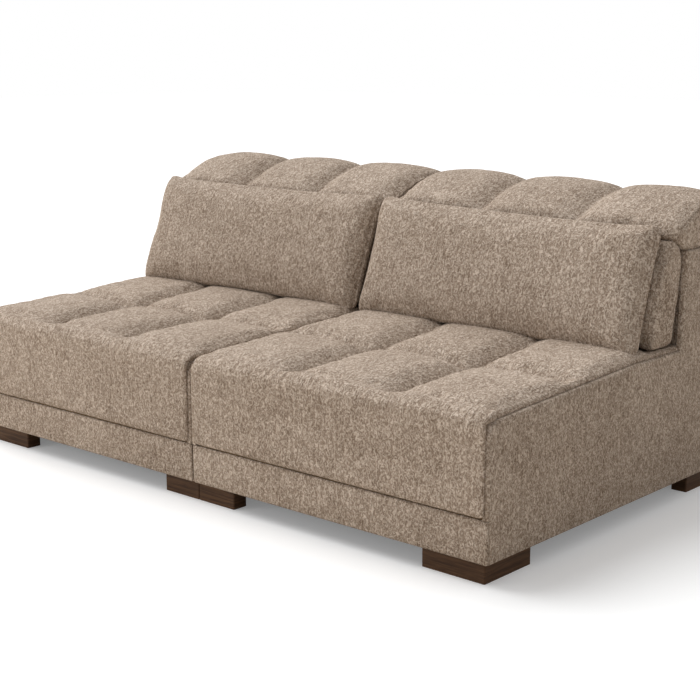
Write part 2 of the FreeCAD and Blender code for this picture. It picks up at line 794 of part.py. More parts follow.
def headrest_section(x, inset):
    """Outline of the headrest at x, drawn in by inset where a channel is sewn."""
    depth, height = float(PIVOT_DEPTH), float(PIVOT_HEIGHT)
    radius = float(size("nose_radius")) - inset
    floor = float(BACK_TOP + size("headrest_lift"))
    chin = polar(x, radius, NOSE_LOWER_ANGLE)
    nose = polar(x, radius, (NOSE_LOWER_ANGLE + NOSE_UPPER_ANGLE) / 2)
    bridge = polar(x, radius, NOSE_UPPER_ANGLE)
    shoulder = point(x, depth + float(size("shoulder_setback")) + 0.6 * inset,
                     height + float(size("shoulder_rise")) - 0.8 * inset)
    crest = point(x, depth + float(size("crest_setback")), height + float(size("crest_rise")) - inset)
    tail_depth = float(size("module_depth") - size("tail_margin")) - inset / 3
    tail = point(x, tail_depth, height + float(size("tail_rise")))
    heel = point(x, tail_depth, floor)
    hinge = point(x, depth, floor)
    edges = [
        Part.Arc(chin, nose, bridge).toShape(),
        bowed(bridge, shoulder, float(size("shoulder_bulge")), Vector(0, -0.7, 0.7)),
        bowed(shoulder, crest, float(size("crest_bulge")), Vector(0, -0.3, 1)),
        bowed(crest, tail, float(size("tail_bulge")), Vector(0, 0.7, 0.7)),
        line(tail, heel),
        line(heel, hinge),
        line(hinge, chin),
    ]
    return Part.Wire(edges)


def make_headrest_pad(label, centre):
    """The channelled headrest roll, hollowed for its board and hinges."""
    half = float(HALF_WIDTH - size("headrest_end_gap"))
    count = int(float(size("channel_count")))
    channel = 2 * half / count
    depth = float(size("channel_depth"))
    wires = []
    for number in range(count):
        for share in CHANNEL_STEPS:
            inset = depth * abs(2 * share - 1) ** 2.6
            wires.append(headrest_section(float(centre) - half + channel * (number + share), inset))
    wires.append(headrest_section(float(centre) + half, depth))
    shape = ruled_loft(wires)
    gap = float(size("soft_clearance"))
    front = float(PIVOT_DEPTH + size("board_front")) - gap
    rear = float(PIVOT_DEPTH + size("board_rear")) + gap
    reach = float(INNER - RAIL + size("hinge_play"))
    floor = float(BACK_TOP)
    top = float(PIVOT_HEIGHT + size("board_thickness")) + gap
    pocket = Part.makeBox(2 * reach, rear - front, top - floor, point(float(centre) - reach, front, floor))
    slots = []
    slot_width = 2 * float(size("hinge_plate")) + 6 * float(size("hinge_play")) + float(size("stud_radius"))
    for low_x in (float(centre) - reach, float(centre) + reach - slot_width):
        slots.append(Part.makeCylinder(float(size("hinge_slot")), slot_width,
                                       point(low_x, PIVOT_DEPTH, PIVOT_HEIGHT), Vector(1, 0, 0)))
    return feature(f"{label}_headrest_pad", shape.cut([pocket] + slots))


def hinge_faces(centre, side):
    """Give the X of a hinge's bracket and arm, each as its lower side."""
    plate = size("hinge_plate")
    outer = centre + side * (INNER - RAIL)
    bracket = outer - plate if side > 0 else outer
    arm = bracket - side * (plate + size("hinge_play"))
    return bracket, arm


def make_headrest_board(label, centre):
    """The plywood board inside the headrest, between the two hinge arms."""
    reach = INNER - RAIL - size("hinge_plate") * 2 - size("hinge_play")
    low_y = PIVOT_DEPTH + size("board_front") - HALF_DEPTH
    high_y = PIVOT_DEPTH + size("board_rear") - HALF_DEPTH
    return block(f"{label}_headrest_board", (centre - reach, low_y, PIVOT_HEIGHT),
                 (centre + reach, high_y, PIVOT_HEIGHT + size("board_thickness")))


def make_hinges(label, centre):
    """Two ratchet hinges: brackets with studs on the posts, arms on the headrest's board."""
    zero = as_size(0)
    boss, foot, width = size("hinge_boss"), size("bracket_foot"), size("bracket_width")
    lead = size("pivot_lead")
    neck = size("pivot_rise") + size("deck_thickness") + size("hinge_play") * 5
    brackets, arms = [], []
    for side in (-1, 1):
        bracket_x, arm_x = hinge_faces(centre, side)
        pivot = (PIVOT_DEPTH - HALF_DEPTH, PIVOT_HEIGHT)
        name = f"{label}_bracket_{len(brackets)}"
        body = body_at(name, bracket_x, *pivot)
        drawing = sketch_on(body, "YZ_Plane")
        draw_outline(drawing, [
            (lead, -foot), (lead + width, -foot), (lead + width, -foot * 0.5), (boss, -neck),
            (boss, zero), (-boss, zero), (-boss, -boss * 0.5), (lead, -boss * 3),
        ])
        pad(body, drawing, size("hinge_plate"))
        rim = sketch_on(body, "YZ_Plane")
        draw_circle(rim, zero, zero, boss)
        pad(body, rim, size("hinge_plate"))
        stud = sketch_on(body, "YZ_Plane")
        draw_circle(stud, zero, zero, size("stud_radius"))
        length = size("hinge_plate") * 2 + size("hinge_play") * 3
        if side > 0:
            pad(body, stud, length - size("hinge_plate"), against=True)
        else:
            pad(body, stud, length)
        brackets.append(body)
        name = f"{label}_arm_{len(arms)}"
        arm_body = body_at(f"{name}_body", arm_x, *pivot)
        drawing = sketch_on(arm_body, "YZ_Plane")
        draw_outline(drawing, [(zero, zero), (size("arm_reach"), zero),
                               (size("arm_reach"), size("board_thickness")), (zero, size("board_thickness"))])
        pad(arm_body, drawing, size("hinge_plate"))
        rim = sketch_on(arm_body, "YZ_Plane")
        draw_circle(rim, zero, zero, boss)
        pad(arm_body, rim, size("hinge_plate"))
        bore = doc.addObject("Part::Cylinder", f"{name}_bore")
        bind(bore, "Radius", size("stud_radius") + size("stud_play"))
        bind(bore, "Height", size("hinge_plate"))
        bore.Placement = Placement(Vector(), Rotation(Vector(0, 1, 0), 90))
        for axis, place in zip("xyz", (arm_x, *pivot)):
            bind(bore, f"Placement.Base.{axis}", place)
        arms.append(cut(name, arm_body, [bore]))
    return [group(f"{label}_hinge_brackets", brackets), group(f"{label}_hinge_arms", arms)]


def pillow_section(x, fullness, height, foot_rise):
    """Outline of the pillow at x: flat edges, a full front and a flatter rear, all leaning back."""
    lean = math.radians(float(size("pillow_lean")))
    edge, gap = float(size("pillow_edge")), float(size("soft_clearance"))
    front = edge + (float(size("pillow_front_crown")) - edge) * fullness
    rear = edge + (float(size("pillow_rear_crown")) - edge) * fullness

    def place(out, up):
        up += foot_rise
        depth = float(size("pillow_foot")) + up * math.sin(lean) - out * math.cos(lean)
        level = seat_crown_height(float(size("pillow_foot")) + edge) + gap + edge * math.sin(lean)
        return point(x, depth, level + up * math.cos(lean) + out * math.sin(lean))

    low, high, share = 0.0, height, PILLOW_SHOULDER
    forward = Vector(0, -math.cos(lean), math.sin(lean))
    bulge = PILLOW_ROUNDNESS * height * share
    edges = []
    for out, sign, limit in ((1, 1, front), (-1, -1, rear)):
        base, first = place(out * edge, low), place(out * limit, height * share)
        second, tip = place(out * limit, height * (1 - share)), place(out * edge, high)
        lower_bow = bulge * limit / float(size("pillow_front_crown"))
        side = [
            bowed(base, first, lower_bow, forward * sign + Vector(0, 0, -0.6)),
            line(first, second),
            bowed(second, tip, lower_bow, forward * sign + Vector(0, 0, 0.6)),
        ]
        edges.append((side, base, tip))
    (front_side, front_low, front_high), (rear_side, rear_low, rear_high) = edges
    return closed_wire(front_side + [line(front_high, rear_high)] + rear_side + [line(rear_low, front_low)])


def make_pillow(label, centre):
    """The loose lumbar pillow, crowned, with its long edges drawn in between the corners."""
    half = float(size("pillow_width")) / 2
    draw = float(size("pillow_draw"))
    wires = []
    for share in PILLOW_STATIONS:
        fullness = PILLOW_END_FULLNESS + (1 - PILLOW_END_FULLNESS) * (1 - abs(share) ** 7) ** 0.6
        pull = draw * (1 - share * share)
        corner = draw * max(0, abs(share) - PILLOW_CORNER) / (1 - PILLOW_CORNER)
        height = float(size("pillow_height")) - pull - corner
        wires.append(pillow_section(float(centre) + half * share, fullness, height, corner / 2))
    return feature(f"{label}_lumbar_pillow", ruled_loft(wires))


def make_links():
    """Steel tongues under the left module that slide into brackets under the right one."""
    half, reach, drop = size("link_width") / 2, size("link_reach"), size("link_depth")
    thin, gap = size("tongue_thickness"), size("tongue_clearance")
    tongue_half = size("tongue_width") / 2
    edge = size("tongue_thickness")
    tongue_bottom = LEG_TOP - drop / 2 - thin
    tongues, sockets = [], []
    for number, depth in enumerate((size("link_front"), size("link_rear"))):
        y = depth - HALF_DEPTH
        plate = block(f"link_plate_{number}", (-reach, y - half, LEG_TOP - thin), (-edge, y + half, LEG_TOP))
        web = block(f"link_web_{number}", (-edge * 3, y - tongue_half, tongue_bottom),
                    (-edge, y + tongue_half, LEG_TOP))
        tongue = block(f"link_blade_{number}", (-edge * 3, y - tongue_half, tongue_bottom),
                       (reach * TONGUE_REACH, y + tongue_half, tongue_bottom + thin))
        tongues.append(fuse(f"link_tongue_{number}", [plate, web, tongue]))
        bracket = block(f"link_bracket_{number}", (edge, y - half, LEG_TOP - drop),
                        (reach, y + half, LEG_TOP))
        slot = block(f"link_slot_{number}", (edge, y - tongue_half - gap, tongue_bottom - gap),
                     (reach * TONGUE_REACH + gap, y + tongue_half + gap, tongue_bottom + thin + gap))
        sockets.append(cut(f"link_socket_{number}", bracket, [slot]))
    return [group("link_tongues", tongues), group("link_sockets", sockets)]


def make_module(label, side):
    """Build one module and return its sub-parts, its bolts' places and its springs' places."""
    centre = side * (HALF_WIDTH + size("module_seam") / 2)
    places = leg_bolt_places(side, centre)
    pieces = make_seat_frame(label, centre, places)
    pieces.append(make_dust_cover(label, centre, places))
    for end, position in ((-1, "front"), (1, "rear")):
        outer = [place for place in places if place[2:] == ("outer", end)]
        inner = [place for place in places if place[2:] == ("inner", end)]
        pieces.append(make_corner_leg(f"{label}_{position}_corner_leg", side, centre, end, outer))
        pieces.append(make_block_leg(f"{label}_{position}_block_leg", side, centre, end, inner))
    pieces.append(make_springs(label, centre))
    pieces.append(make_felt(label, centre))
    pieces.append(make_seat_cushion(label, centre))
    pieces += make_panels(label, side, centre)
    pieces += make_back_frame(label, centre)
    pieces.append(make_back_pad(label, centre))
    pieces.append(make_headrest_board(label, centre))
    pieces.append(make_headrest_pad(label, centre))
    pieces += make_hinges(label, centre)
    pieces.append(make_pillow(label, centre))
    return pieces, places, spring_places(centre)


def check_document(pieces):
    """Stop if any object failed or any sub-part isn't a sound solid."""
    for item in doc.Objects:
        if "Invalid" in item.State or "Error" in item.State:
            raise RuntimeError(f"{item.Name} failed: {item.State}")
    for piece in pieces:
        shape = piece.Shape
        if shape.isNull() or not shape.isValid() or not shape.Solids:
            raise RuntimeError(f"{piece.Label} has no sound solid")


parts, bolts, springs = [], [], []
for label, side in (("left", -1), ("right", 1)):
    pieces, places, lanes = make_module(label, side)
    parts += pieces
    bolts += places
    springs += lanes
parts.append(make_leg_bolts(bolts))
parts.append(make_spring_clips(springs))
parts += make_links()
doc.recompute()
check_document(parts)

os.makedirs("parts", exist_ok=True)
for part in parts:
    part.Shape.exportStep(f"parts/{part.Label}.step")
print(f"{len(parts)} sub-parts written")
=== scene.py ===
"""The look of an armless modular lounge sofa with tufted seats and flip-up headrests.

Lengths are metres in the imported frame: X across the two modules, Y from front to back, Z up.
Each soft piece is modelled for the right module, and the left module gets its mirror image.
"""
import json
import logging
import math
from collections.abc import Callable
from dataclasses import dataclass, field
from enum import Enum

import bmesh
import bpy
import numpy as np
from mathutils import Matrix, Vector


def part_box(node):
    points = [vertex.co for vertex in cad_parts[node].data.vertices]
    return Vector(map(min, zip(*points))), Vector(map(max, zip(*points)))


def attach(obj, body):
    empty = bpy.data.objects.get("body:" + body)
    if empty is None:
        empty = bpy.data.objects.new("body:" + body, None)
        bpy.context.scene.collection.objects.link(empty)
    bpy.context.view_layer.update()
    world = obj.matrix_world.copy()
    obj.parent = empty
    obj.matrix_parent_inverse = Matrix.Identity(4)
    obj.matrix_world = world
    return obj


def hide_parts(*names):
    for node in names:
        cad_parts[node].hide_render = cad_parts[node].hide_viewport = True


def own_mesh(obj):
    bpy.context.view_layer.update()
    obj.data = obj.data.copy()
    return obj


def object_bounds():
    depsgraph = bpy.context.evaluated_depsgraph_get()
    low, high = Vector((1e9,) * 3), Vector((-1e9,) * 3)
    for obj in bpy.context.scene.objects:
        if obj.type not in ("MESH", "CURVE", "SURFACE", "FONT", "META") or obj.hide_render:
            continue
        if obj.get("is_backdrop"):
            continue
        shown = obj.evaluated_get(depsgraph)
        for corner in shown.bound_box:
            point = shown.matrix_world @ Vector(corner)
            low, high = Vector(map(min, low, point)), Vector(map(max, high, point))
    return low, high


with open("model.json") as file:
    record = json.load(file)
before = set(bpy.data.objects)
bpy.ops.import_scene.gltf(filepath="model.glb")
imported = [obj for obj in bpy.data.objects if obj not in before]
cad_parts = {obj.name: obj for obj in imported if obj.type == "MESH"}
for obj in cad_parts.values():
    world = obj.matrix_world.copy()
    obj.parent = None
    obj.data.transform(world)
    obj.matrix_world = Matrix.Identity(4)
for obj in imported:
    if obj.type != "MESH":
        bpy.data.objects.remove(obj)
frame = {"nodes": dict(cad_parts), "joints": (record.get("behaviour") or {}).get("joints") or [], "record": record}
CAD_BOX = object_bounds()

LOG = logging.getLogger("lounge_sofa")
SOFT_COUNT = 5000
UNEVEN = 0.0014
Colour = tuple[float, float, float, float]
Spot = tuple[float, float]
Place = tuple[float, float, float]
Outline = list[Spot]
Points = np.ndarray
Piece, Material = bpy.types.Object, bpy.types.Material
World, Socket = bpy.types.World, bpy.types.NodeSocket


class Side(Enum):
    """The two modules, as seen from the front."""

    LEFT = -1
    RIGHT = 1

    def node(self, name: str) -> str:
        """Name this module's CAD node."""
        return f"{self.name.lower()}_{name}"


class Grain(Enum):
    """The direction across which the cloth's streaks are narrow."""

    ACROSS_WIDTH = (1.0, 0.84, 0.84)
    ACROSS_DEPTH = (0.84, 1.0, 0.84)


def srgb(red: int, green: int, blue: int) -> Colour:
    """Turn a screen colour into the linear colour that a shader takes.

    Args:
        red: Red from 0 to 255.
        green: Green from 0 to 255.
        blue: Blue from 0 to 255.

    Returns:
        The linear colour with full alpha.
    """
    linear = [
        share / 12.92 if share <= 0.04045 else ((share + 0.055) / 1.055) ** 2.4
        for share in (red / 255, green / 255, blue / 255)
    ]
    return (*linear, 1.0)


class Signal:
    """A shader socket that takes part in sums, each of which adds a Math node."""

    def __init__(self, tree: "ShaderTree", output: Socket) -> None:
        """Keep the socket and the tree that it belongs to."""
        self.tree = tree
        self.output = output

    def _math(self, operation: str, first: "Signal | float", second: "Signal | float") -> "Signal":
        """Add one Math node."""
        return self.tree.node("ShaderNodeMath", {"operation": operation}, {0: first, 1: second})

    def __add__(self, other: "Signal | float") -> "Signal":
        """Add."""
        return self._math("ADD", self, other)

    def __radd__(self, other: float) -> "Signal":
        """Add to a number."""
        return self._math("ADD", other, self)

    def __sub__(self, other: "Signal | float") -> "Signal":
        """Subtract."""
        return self._math("SUBTRACT", self, other)

    def __rsub__(self, other: float) -> "Signal":
        """Subtract from a number."""
        return self._math("SUBTRACT", other, self)

    def __mul__(self, other: "Signal | float") -> "Signal":
        """Multiply."""
        return self._math("MULTIPLY", self, other)

    def __rmul__(self, other: float) -> "Signal":
        """Multiply a number."""
        return self._math("MULTIPLY", other, self)

    def sine(self) -> "Signal":
        """Take the sine."""
        return self._math("SINE", self, 0.0)

    def magnitude(self) -> "Signal":
        """Drop the sign."""
        return self._math("ABSOLUTE", self, 0.0)

    def between(self, low: float, high: float) -> "Signal":
        """Rise smoothly from 0 at low to 1 at high."""
        return self.tree.node("ShaderNodeMapRange", {"interpolation_type": "SMOOTHSTEP"},
                              {"Value": self, "From Min": low, "From Max": high})


class ShaderTree:
    """The nodes of a material or a world, with the shader that they feed."""

    def __init__(self, owner: Material | World, shader: str = "Principled BSDF") -> None:
        """Open the owner's nodes.

        Args:
            owner: The material or world.
            shader: The name of its shader node.
        """
        owner.use_nodes = True
        self.owner = owner
        self.nodes = owner.node_tree.nodes
        self.links = owner.node_tree.links
        self.shader = self.nodes[shader]

    @classmethod
    def named(cls, name: str) -> "ShaderTree":
        """Start a new material."""
        return cls(bpy.data.materials.new(name))

    def node(self, kind: str, settings: dict | None = None, inputs: dict | None = None,
             output: int | str = 0) -> Signal:
        """Add a node.

        Args:
            kind: The node's type.
            settings: Its own settings, such as a Math node's operation.
            inputs: Values or links of its sockets, by name or number.
            output: The output socket that is wanted.

        Returns:
            That output.
        """
        made = self.nodes.new(kind)
        for name, value in (settings or {}).items():
            setattr(made, name, value)
        for name, value in (inputs or {}).items():
            self._feed(made.inputs[name], value)
        return Signal(self, made.outputs[output])

    def _feed(self, socket: Socket, value: object) -> None:
        """Link or set one socket."""
        if isinstance(value, Signal):
            self.links.new(value.output, socket)
        else:
            socket.default_value = value

    def place(self, scale: Place = (1, 1, 1)) -> Signal:
        """Give the object's own coordinates, scaled."""
        source = self.node("ShaderNodeTexCoord", output="Object")
        return self.node("ShaderNodeMapping", {}, {"Vector": source, "Scale": scale})

    def noise(self, place: Signal, scale: float, detail: float = 2.0, distortion: float = 0.0) -> Signal:
        """Add a noise texture."""
        return self.node("ShaderNodeTexNoise", {},
                         {"Vector": place, "Scale": scale, "Detail": detail, "Distortion": distortion})

    def mix(self, share: Signal | float, low: Signal | Colour, high: Signal | Colour) -> Signal:
        """Mix two colours."""
        return self.node("ShaderNodeMix", {"data_type": "RGBA"}, {0: share, 6: low, 7: high}, 2)

    def bump(self, height: Signal, strength: float, distance: float) -> Signal:
        """Turn a height into a normal."""
        return self.node("ShaderNodeBump", {}, {"Height": height, "Strength": strength, "Distance": distance})

    def finish(self, **sockets: object) -> Material | World:
        """Feed the shader.

        Args:
            sockets: Values or links by socket name, with _ for a space.

        Returns:
            The finished material or world.
        """
        for name, value in sockets.items():
            self._feed(self.shader.inputs[name.replace("_", " ")], value)
        return self.owner


@dataclass(frozen=True)
class LoopedCloth:
    """Upholstery cloth of curled loop yarn, with drawn lines along one direction, its colour painted darker in the
    low hollows and lighter on the raised loops as shade and highlight.
    """

    name: str = "looped_cloth"
    # Painted shade: the darkened colour of the low hollows between the loops.
    hollow: Colour = srgb(121, 103, 87)
    body: Colour = srgb(173, 156, 140)
    # Painted highlight: the lightened colour of the raised loop tops, also used as the sheen's tint.
    lit_tip: Colour = srgb(210, 194, 179)
    curl_scale: float = 105.0
    curl_width: float = 0.12
    curl_turns: float = 20.0
    pitch: float = 325.0
    line_scale: float = 150.0
    line_stretch: float = 0.1
    line_width: float = 0.06
    relief: float = 0.0023
    bump: float = 0.9

    def worms(self, tree: ShaderTree, place: Signal, scale: float) -> Signal:
        """Draw curled yarn: 1 along its middle, 0 between.

        Args:
            tree: The material in work.
            place: The coordinates.
            scale: Curls per metre.

        Returns:
            The yarn's height.
        """
        field_value = tree.noise(place, scale, 0.7, 0.55)
        return (field_value - 0.5).magnitude().between(self.curl_width, 0.0)

    def material(self, grain: Grain) -> Material:
        """Make the cloth for pieces with one direction of drawn lines.

        Args:
            grain: The direction across which the lines are narrow.

        Returns:
            The material.
        """
        tree = ShaderTree.named(f"{self.name}_{grain.name.lower()}")
        plain = tree.place()
        drawn = tree.place(grain.value)
        long = tree.place(tuple(1.0 if share == 1.0 else self.line_stretch for share in grain.value))
        across = tree.node("ShaderNodeSeparateXYZ", {}, {"Vector": plain}, grain.value.index(1.0))
        swirl = tree.noise(drawn, self.curl_scale, 1.0, 0.6)
        yarn = ((across * self.pitch + swirl * self.curl_turns).sine() * 0.5 + 0.5).between(0.15, 0.95)
        loops = self.worms(tree, drawn, self.curl_scale * 1.2)
        level = tree.noise(long, self.line_scale, 1.0, 0.25)
        patches = tree.noise(plain, 21.0, 1.0).between(0.42, 0.62)
        lines = (level - 0.5).magnitude().between(self.line_width, 0.0) * patches
        fluff = tree.noise(plain, 800.0, 1.0)
        height = yarn * 0.56 + loops * 0.28 + fluff * 0.16 - lines * 0.26
        slow = tree.noise(plain, 5.0, 2.0).between(0.25, 0.75)
        # The colour follows the relief: painted shade where it is low and a painted highlight where it is high,
        # with a real slow tonal mottle.
        relief_shade_and_mottle = height + (slow - 0.5) * 0.1
        colour = tree.mix(relief_shade_and_mottle.between(-0.15, 0.5), self.hollow, self.body)
        colour = tree.mix(relief_shade_and_mottle.between(0.5, 1.0), colour, self.lit_tip)
        return tree.finish(Base_Color=colour, Roughness=0.95, Specular_IOR_Level=0.12, Sheen_Weight=0.12,
                           Sheen_Roughness=0.5, Sheen_Tint=self.lit_tip,
                           Normal=tree.bump(height, self.bump, self.relief))


@dataclass(frozen=True)
class SawnWood:
    """Timber with grain that runs level, in two tones."""

    name: str
    dark: Colour
    light: Colour
    grain: Place = (2.2, 2.2, 60.0)
    roughness: float = 0.5

    def material(self) -> Material:
        """Make the wood."""
        tree = ShaderTree.named(self.name)
        along = tree.place(self.grain)
        bands = tree.noise(along, 3.0, 4.0, 0.8)
        pores = tree.noise(along, 14.0, 2.0, 0.3).between(0.45, 0.62)
        figure = bands.between(0.3, 0.7) * 0.7 + pores * 0.3
        colour = tree.mix(figure, self.dark, self.light)
        return tree.finish(Base_Color=colour, Roughness=self.roughness + pores * 0.08,
                           Specular_IOR_Level=0.2, Normal=tree.bump(figure, 0.25, 0.0006))


@dataclass(frozen=True)
class DrawnSteel:
    """Steel with fine drawing marks and faint stains."""

    name: str
    colour: Colour
    stain: Colour
    roughness: float = 0.38

    def material(self) -> Material:
        """Make the steel."""
        tree = ShaderTree.named(self.name)
        marks = tree.noise(tree.place((30.0, 1.0, 30.0)), 60.0, 3.0)
        cloud = tree.noise(tree.place(), 40.0, 3.0).between(0.45, 0.75)
        return tree.finish(Base_Color=tree.mix(cloud, self.colour, self.stain), Metallic=1.0,
                           Roughness=self.roughness + marks * 0.16,
                           Normal=tree.bump(marks, 0.1, 0.0004))


@dataclass(frozen=True)
class PlainWeave:
    """A flat woven or needled cloth for the hidden pieces."""

    name: str
    dark: Colour
    light: Colour
    thread: float = 900.0

    def material(self) -> Material:
        """Make the cloth."""
        tree = ShaderTree.named(self.name)
        place = tree.place()
        waves = {"Vector": place, "Scale": self.thread / 6.0, "Distortion": 0.8}
        warp, weft = (tree.node("ShaderNodeTexWave", {"bands_direction": axis}, waves) for axis in "XY")
        fibre = tree.noise(place, self.thread, 2.0)
        weave = warp * 0.35 + weft * 0.35 + fibre * 0.3
        colour = tree.mix(weave.between(0.2, 0.8), self.dark, self.light)
        return tree.finish(Base_Color=colour, Roughness=0.95, Specular_IOR_Level=0.2,
                           Normal=tree.bump(weave, 0.5, 0.0006))


def deselect() -> None:
    """Leave object mode with nothing selected."""
    if bpy.context.object and bpy.context.object.mode != "OBJECT":
        bpy.ops.object.mode_set(mode="OBJECT")
    bpy.ops.object.select_all(action="DESELECT")


def take(piece: Piece) -> None:
    """Make one piece the only selected and active one."""
    deselect()
    piece.select_set(True)
    bpy.context.view_layer.objects.active = piece


def start_block(name: str, low: Vector, high: Vector) -> Piece:
    """Add a block between two corners, with its place in its mesh.

    Args:
        name: The piece's name.
        low: The lowest corner.
        high: The highest corner.

    Returns:
        The new piece.
    """
    deselect()
    low, high = Vector(low), Vector(high)
    bpy.ops.mesh.primitive_cube_add(size=1, location=(low + high) / 2)
    piece = bpy.context.object
    piece.name = piece.data.name = name
    piece.scale = high - low
    bpy.ops.object.transform_apply(location=True, rotation=True, scale=True)
    return piece


def start_prism(name: str, outline: Outline, low_x: float, high_x: float) -> Piece:
    """Draw an outline of depths and heights and extrude it across the width.

    Args:
        name: The piece's name.
        outline: Points of Y and Z, in order round the shape.
        low_x: Where the prism starts.
        high_x: Where it ends.

    Returns:
        The new piece.
    """
    deselect()
    bpy.ops.mesh.primitive_circle_add(vertices=len(outline), fill_type="NGON")
    piece = bpy.context.object
    piece.name = piece.data.name = name
    for corner, (depth, height) in zip(piece.data.vertices, outline):
        corner.co = (low_x, depth, height)
    bpy.ops.object.mode_set(mode="EDIT")
    bpy.ops.mesh.select_all(action="SELECT")
    bpy.ops.mesh.extrude_region_move(TRANSFORM_OT_translate={"value": (high_x - low_x, 0, 0)})
    bpy.ops.mesh.select_all(action="SELECT")
    bpy.ops.mesh.normals_make_consistent(inside=False)
    bpy.ops.object.mode_set(mode="OBJECT")
    return piece


def bevel(piece: Piece, width: float, segments: int,
          wanted: Callable[[Vector, Vector], bool] = lambda start, end: True) -> None:
    """Round the edges that a test picks.

    Args:
        piece: The piece in work.
        width: The rounding's width.
        segments: How many faces make the round.
        wanted: Takes an edge's two ends and says whether it is rounded.
    """
    take(piece)
    bpy.ops.object.mode_set(mode="EDIT")
    bpy.ops.mesh.select_mode(type="EDGE")
    bpy.ops.mesh.select_all(action="DESELECT")
    shape = bmesh.from_edit_mesh(piece.data)
    for edge in shape.edges:
        edge.select_set(wanted(edge.verts[0].co, edge.verts[1].co))
    bmesh.update_edit_mesh(piece.data)
    bpy.ops.mesh.bevel(offset=width, segments=segments, profile=0.5, affect="EDGES")
    bpy.ops.object.mode_set(mode="OBJECT")


def modify(piece: Piece, kind: str, **settings: object) -> None:
    """Add a modifier with its settings and apply it."""
    take(piece)
    modifier = piece.modifiers.new(kind.lower(), kind)
    for name, value in settings.items():
        setattr(modifier, name, value)
    bpy.ops.object.modifier_apply(modifier=modifier.name)


def remesh(piece: Piece, pitch: float) -> None:
    """Give a closed piece an even skin."""
    modify(piece, "REMESH", mode="VOXEL", voxel_size=pitch)


def refine(piece: Piece) -> None:
    """Subdivide a piece smoothly once."""
    modify(piece, "SUBSURF", levels=1, render_levels=1)


def paint(piece: Piece, material: Material) -> None:
    """Give a piece one material."""
    piece.data.materials.clear()
    piece.data.materials.append(material)


def read_points(piece: Piece, what: str = "co") -> Points:
    """Read a piece's vertices, or their normals, as rows of X, Y and Z."""
    values = np.zeros(len(piece.data.vertices) * 3, np.float32)
    piece.data.vertices.foreach_get(what, values)
    return values.reshape(-1, 3).astype(float)


def read_skin(piece: Piece) -> tuple[Points, Points]:
    """Read a piece's vertices and their normals."""
    return read_points(piece), read_points(piece, "normal")


def write_points(piece: Piece, points: Points) -> None:
    """Move a piece's vertices."""
    piece.data.vertices.foreach_set("co", points.astype(np.float32).ravel())
    piece.data.update()


def rise(values: Points, low: float, high: float) -> Points:
    """Rise smoothly from 0 at low to 1 at high."""
    share = np.clip((values - low) / (high - low), 0, 1)
    return share * share * (3 - 2 * share)


def polar(reach: float, angle: float) -> Spot:
    """Depth and height of a point at a reach and an angle in degrees."""
    turn = math.radians(angle)
    return reach * math.cos(turn), reach * math.sin(turn)


def ripple(points: Points, scale: Place, seed: int) -> Points:
    """Smooth random values from -1 to 1 at points.

    Args:
        points: Rows of X, Y and Z.
        scale: Cells per metre along each axis.
        seed: Which random field.

    Returns:
        One value for each point.
    """
    cells = points * np.array(scale) + seed * 17.31
    base = np.floor(cells).astype(np.int64)
    share = cells - base
    share = share * share * (3 - 2 * share)
    total = np.zeros(len(points))
    for corner in np.ndindex(2, 2, 2):
        key = base + np.array(corner)
        mixed = (key[:, 0] * 73856093) ^ (key[:, 1] * 19349663) ^ (key[:, 2] * 83492791) ^ (seed * 2654435)
        mixed = (mixed ^ (mixed >> 13)) * 1274126177 & 0x7FFFFFFF
        value = (mixed % 20011) / 10005.5 - 1
        weight = np.prod(np.where(np.array(corner) == 1, share, 1 - share), axis=1)
        total += value * weight
    return total


@dataclass(frozen=True)
class Filling:
    """How a cover swells over its filling."""

    pressure: float = 4.0
    slack: float = 0.02
    stiffness: float = 12.0
    bending: float = 0.4
    frames: int = 20
    most: float = 0.02

    def swell(self, piece: Piece, held: Points) -> None:
        """Blow the cover out by a cloth simulation and keep its result.

        Args:
            piece: The piece in work, with an even skin.
            held: For each vertex how firmly it is held, from 0 to 1.
        """
        take(piece)
        rest = read_points(piece)
        group = piece.vertex_groups.new(name="held")
        for number, weight in enumerate(held):
            group.add([number], float(weight), "REPLACE")
        cloth = piece.modifiers.new("cover", "CLOTH")
        settings = cloth.settings
        settings.quality = 4
        settings.mass = 0.25
        settings.tension_stiffness = settings.compression_stiffness = self.stiffness
        settings.shear_stiffness = self.stiffness / 2
        settings.bending_stiffness = self.bending
        settings.use_pressure = True
        settings.uniform_pressure_force = self.pressure
        settings.shrink_min = -self.slack
        settings.vertex_group_mass = group.name
        settings.pin_stiffness = 1.0
        settings.effector_weights.gravity = 0
        cloth.collision_settings.use_collision = False
        cloth.point_cache.frame_start = 1
        cloth.point_cache.frame_end = self.frames
        scene = bpy.context.scene
        for number in range(1, self.frames + 1):
            scene.frame_set(number)
        bpy.ops.object.modifier_apply(modifier=cloth.name)
        scene.frame_set(1)
        moved = read_points(piece) - rest
        reach = np.linalg.norm(moved, axis=1, keepdims=True)
        write_points(piece, rest + moved * np.minimum(1, self.most / np.maximum(reach, 1e-9)))
        piece.vertex_groups.clear()


def mirrored(piece: Piece, name: str) -> Piece:
    """Copy a piece of the right module to the left one, with its own mesh."""
    copy = piece.copy()
    copy.data = piece.data.copy()
    copy.name = copy.data.name = name
    bpy.context.scene.collection.objects.link(copy)
    points = read_points(copy)
    points[:, 0] *= -1
    write_points(copy, points)
    copy.data.flip_normals()
    return copy


def smooth(piece: Piece, angle: float = 180.0) -> None:
    """Shade a piece smoothly up to an angle between its faces."""
    take(piece)
    bpy.ops.object.shade_smooth_by_angle(angle=math.radians(angle))


